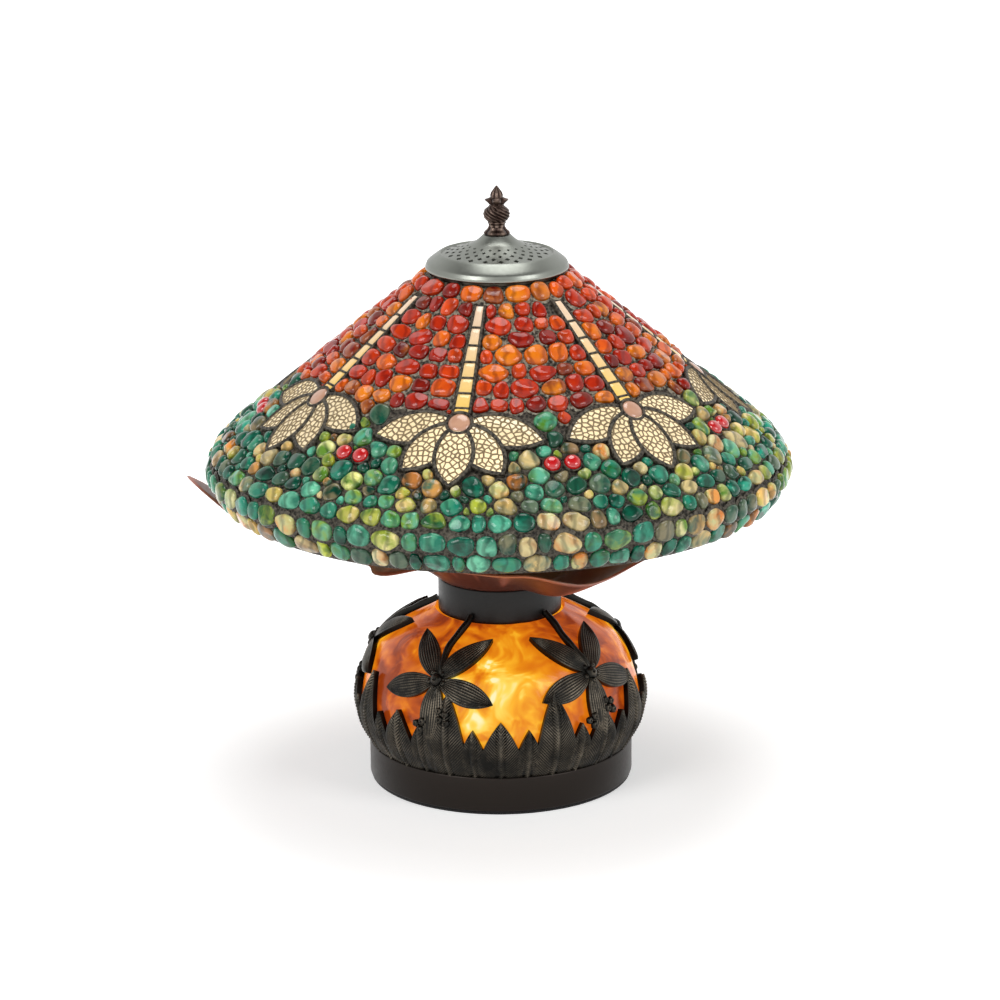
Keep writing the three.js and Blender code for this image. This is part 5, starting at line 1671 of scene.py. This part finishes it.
def agate_finish(name, stops, other_shift, dark, strength):
    """Polished stones: each takes its colour from its own pick along the stops."""
    made, tree, surface = finish(name, Roughness=0.1, Specular_IOR_Level=0.3, Coat_Weight=0.12)
    pick, grain, rise = (put(tree, "ShaderNodeAttribute", attribute_name=fact).outputs
                         for fact in ("pick", "grain", "rise"))

    def own_colour(shift):
        return coloured(tree, calc(tree, "FRACT", calc(tree, "ADD", pick["Fac"], shift), 0), stops)

    skin = put(tree, "ShaderNodeGroup", {"Own": own_colour(0.0), "Other": own_colour(other_shift),
                                         "Dark": dark, "Grain": grain["Vector"]}, node_tree=agate).outputs
    # Painted shade: each stone is darkened towards its foot, where it meets the solder, and lighter towards
    # its top.
    foot_shade = ranged(tree, rise["Fac"], 0, 0.7, 0.3, 1)
    luck = calc(tree, "DIVIDE", axes_of(tree, grain["Vector"])["X"], grain_reach)
    shine = ranged(tree, calc(tree, "POWER", luck, 4.0), 0, 1, 0.5 * strength, 3.5 * strength)
    wire_up(tree, surface, Base_Color=vector_calc(tree, "SCALE", skin["Color"], foot_shade),
            Emission_Color=skin["Color"], Emission_Strength=calc(tree, "MULTIPLY", skin["Glow"], shine),
            Normal=bump(tree, skin["Height"], 0.12, 0.5))
    return made


red_stops = [(0.0, (96, 20, 14)), (0.08, (142, 26, 12)), (0.22, (182, 36, 12)), (0.38, (204, 58, 16)),
             (0.56, (222, 82, 18)), (0.72, (234, 108, 18)), (0.84, (244, 142, 26)), (0.92, (176, 92, 48)),
             (1.0, (104, 40, 30))]
green_stops = [(0.0, (6, 40, 30)), (0.08, (8, 68, 50)), (0.18, (14, 100, 74)), (0.28, (40, 150, 122)),
               (0.37, (112, 196, 160)), (0.44, (34, 96, 40)), (0.52, (100, 148, 44)), (0.62, (184, 188, 62)),
               (0.71, (236, 228, 172)), (0.78, (228, 188, 110)), (0.85, (220, 124, 30)),
               (0.92, (116, 134, 108)), (1.0, (14, 66, 48))]
red_agate = agate_finish("red_agate_skin", red_stops, 0.1, tone(104, 18, 12), 0.1)
green_agate = agate_finish("green_agate_skin", green_stops, 0.16, tone(10, 42, 30), 0.2)
bright_solder = solder_finish("bright_solder", tone(46, 42, 35), tone(158, 151, 134))
stone_shape = random.Random(11)
stone_stores = {True: ([], [], [], [], []), False: ([], [], [], [], [])}
ridge_stores = {True: ([], []), False: ([], [])}
for spot in pack_stones():
    stone(stone_stores[spot.warm], spot, stone_shape)
    ridge(ridge_stores[spot.warm], spot, stone_shape)
for warm, name, skin, node in ((True, "red", red_agate, "red_stone_field"),
                               (False, "green", green_agate, "green_stone_border")):
    points, faces, picks, grains, rises = stone_stores[warm]
    piece = build(f"{name}_agates", points, faces, {"pick": picks, "grain": grains, "rise": rises}, crease=80)
    fit(piece, skin, "shade", f"{name}_agate", node)
    ridges = build(f"{name}_ridges", *ridge_stores[warm], crease=80)
    fit(ridges, bright_solder if warm else dark_solder, "shade", "lead_grey")

# A wire of solder closes the rim, run on by hand and so a little uneven.
bead_low, bead_high = box_of("rim_bead")
bead_radius = (bead_high.z - bead_low.z) / 2
bead_circle = bead_high.x - bead_radius


def rim_wire():
    sides, steps = 240, 12
    points = []
    for i in range(sides):
        azimuth = turn * i / sides
        thick = bead_radius * (0.94 + 0.06 * noise.noise(Vector(polar(1, azimuth, 0)) * 30))
        for k in range(steps):
            angle = turn * k / steps
            points.append(polar(bead_circle + thick * math.cos(angle), azimuth,
                                (bead_low.z + bead_high.z) / 2 + thick * math.sin(angle)))
    return build("rim_wire", points, tube_faces(sides, steps))


fit(rim_wire(), dark_solder, "shade", "lead_grey", "rim_bead")

# The heat cap is spun from sheet and plated in satin pewter. Five rings of lozenges are punched
# through its hollow slope, wider from ring to ring, and its edge is rolled under.
cap_low, cap_high = box_of("heat_cap")
cap_radius = cap_high.x
cap_wall = 1.6
cap_hem = 2.2
fold_radius = 38
cap_rise = 24.6
fold_rise = 11.5
fold_height = cap_high.z - cap_rise + fold_rise
throat_radius = 18
throat_rise = 18.3
throat_height = cap_high.z - cap_rise + throat_rise
cap_seat_radius = 9.5
rod_hole = 4.6
pierce_rows = 5
pierces_per_row = 20
pierce_first = 20.2
pierce_last = 34.6
pierce_share = 0.057


def cap_profile():
    """The outer side of the cap, from its rolled edge up to the seat of the finial."""
    edge = [(cap_radius - cap_hem, cap_low.z), (cap_radius - 0.3, cap_low.z + 0.9),
            (cap_radius, cap_low.z + cap_hem),
            (cap_radius - 0.5, cap_low.z + 1.7 * cap_hem), (cap_radius - cap_hem, cap_low.z + 2.9 * cap_hem)]
    slope = [(fold_radius + cap_hem, fold_height + cap_hem / 2 - 0.5), (fold_radius + 0.6, fold_height - 0.1),
             (fold_radius, fold_height)]
    hollow = [(28, fold_height + (throat_height - fold_height) * 0.42), (throat_radius, throat_height)]
    neck = [((throat_radius + cap_seat_radius) / 2, (throat_height + cap_high.z) / 2 - cap_wall / 2),
            (cap_seat_radius, cap_high.z)]
    return smooth_line(edge + slope, 5)[:-1] + smooth_line([slope[-1]] + hollow + neck, 8)


def pierced(piece, cutter):
    """The piece with the cutter's shape taken out of it."""
    cutting = piece.modifiers.new("pierce", "BOOLEAN")
    cutting.operation = "DIFFERENCE"
    cutting.solver = "EXACT"
    cutting.use_self = True
    cutting.object = cutter
    bpy.context.view_layer.update()
    made = bpy.data.meshes.new_from_object(piece.evaluated_get(bpy.context.evaluated_depsgraph_get()))
    piece.modifiers.clear()
    piece.data = made
    bpy.data.objects.remove(cutter)
    made.shade_smooth()
    made.set_sharp_from_angle(angle=math.radians(30))
    return piece


def heat_cap():
    outer = cap_profile()
    inner = [tuple(point) for point in offset([Vector(point) for point in outer], -cap_wall)]
    inner = [(max(r, rod_hole), min(z, cap_high.z - cap_wall)) for r, z in inner if z > cap_low.z + 0.4]
    section = [*outer, (rod_hole, cap_high.z), (rod_hole, cap_high.z - cap_wall), *inner[::-1]]
    cap = turned("pierced_cap", section, sides=200, crease=35)
    points, faces = [], []
    for row in range(pierce_rows):
        radius = pierce_first + (pierce_last - pierce_first) * row / (pierce_rows - 1)
        size = radius * pierce_share
        for i in range(pierces_per_row):
            azimuth = (i + row % 2 / 2 + 0.25) * turn / pierces_per_row
            first = len(points)
            for height in (fold_height - 6, cap_high.z + 3):
                for dr, dt in ((1.02, 0), (0, 1.1), (-1.02, 0), (0, -1.1)):
                    r, a = radius + dr * size, azimuth + dt * size / radius
                    points.append(polar(r, a, height))
            faces += [tuple(range(first, first + 4)), tuple(range(first + 7, first + 3, -1))]
            faces += drum_faces(2, 4, first)
    return pierced(cap, build("cap_punches", points, faces))


satin_pewter = aged_metal("satin_pewter", grain=0.05, Color=tone(142, 145, 138), Worn=tone(206, 208, 200),
                          Dirt=tone(98, 100, 92), Scale=26.0, Cloud=0.45, Wear=0.3, Roughness=0.33)
fit(heat_cap(), satin_pewter, "heat_cap", "pewter", "heat_cap")

# The finial is cast and bronzed dark: a bud over four curled leaf tips, a swirling ribbed ball, a fluted
# waist and a foot with six lobes. Its high places are rubbed bright, which also serves as a painted
# highlight, and its bore is painted in shade.
finial_low, finial_high = box_of("finial")
finial_height = finial_high.z - finial_low.z
finial_bore = 4.3
finial_bore_depth = 11.7
swirl_range = (0.27, 0.42, 0.59)
swirl_turn = 7.2
# Height as a share, radius, number of lobes and depth of them
finial_knots = [
    (0, 8.3, 6, 0.05), (0.03, 8.6, 6, 0.07), (0.06, 8.0, 6, 0.07), (0.1, 6.4, 6, 0.08),
    (0.16, 5.2, 8, 0.1), (0.2, 5.2, 8, 0.1), (0.235, 6.3, 8, 0.02), (0.26, 6.2, 12, 0.0),
    (0.28, 6.9, 12, 0.04), (0.34, 8.4, 12, 0.07), (0.42, 8.8, 12, 0.08), (0.5, 8.1, 12, 0.07),
    (0.57, 5.6, 12, 0.03), (0.6, 4.9, 8, 0.0), (0.64, 5.4, 4, 0.14), (0.69, 6.3, 4, 0.3),
    (0.715, 6.5, 4, 0.34), (0.735, 5.2, 4, 0.2), (0.76, 4.1, 8, 0.05), (0.8, 4.2, 8, 0.08),
    (0.86, 3.5, 8, 0.1), (0.93, 2.0, 8, 0.08), (0.985, 0.7, 8, 0.02),
]


def finial():
    sides, steps = 120, 6
    points, tops = [], []
    rows = []
    for k in range(len(finial_knots) - 1):
        (h0, r0, lobes, d0), (h1, r1, _, d1) = finial_knots[k], finial_knots[k + 1]
        for step in range(steps):
            mix = step / steps
            ease = mix * mix * (3 - 2 * mix) if lobes != finial_knots[k + 1][2] else mix
            rows.append((h0 + (h1 - h0) * mix, r0 + (r1 - r0) * mix, lobes, d0 + (d1 - d0) * ease))
    rows.append(finial_knots[-1])
    low, middle, high = swirl_range
    for h, radius, lobes, depth in rows:
        swirl = swirl_turn * (h - middle) if low < h < high else 0
        for i in range(sides):
            angle = turn * i / sides
            wave = abs(math.cos(lobes * (angle + swirl) / 2)) * 2 - 1.1
            points.append(polar(radius * (1 + depth * wave), angle, finial_low.z + h * finial_height))
            # Painted highlight, partly rubbed bronze, on the crests of the lobes; painted shade in their
            # troughs.
            tops.append(min(1.0, max(0.0, 0.55 + 0.45 * wave)))
    tip = len(points)
    faces = drum_faces(len(rows), sides)
    faces += [(tip - sides + i, tip - sides + (i + 1) % sides, tip) for i in range(sides)]
    points.append((0, 0, finial_high.z))
    tops.append(0.8)
    first, bore_end = len(points), finial_low.z + finial_bore_depth
    for r, z in [(finial_bore, finial_low.z), (finial_bore, bore_end), (0.01, bore_end)]:
        points += [polar(r, turn * i / sides, z) for i in range(sides)]
    # The bore gets painted shade.
    tops += [0.0] * (len(points) - first)
    faces += drum_faces(3, sides, first)
    faces += [(i, (i + 1) % sides, first + (i + 1) % sides, first + i) for i in range(sides)]
    faces.append(tuple(range(first + 2 * sides, first + 3 * sides)))
    return build("cast_finial", points, faces, {"relief": tops}, crease=40)


dark_finial = aged_metal("dark_finial", relief="relief", metallic=0.9, grain=0.1, Color=tone(66, 50, 44),
                         Worn=tone(168, 146, 132), Dirt=tone(26, 20, 18), Scale=90.0, Cloud=0.5, Wear=0.6,
                         Roughness=0.34)
fit(finial(), dark_finial, "finial", "aged_bronze", "finial")
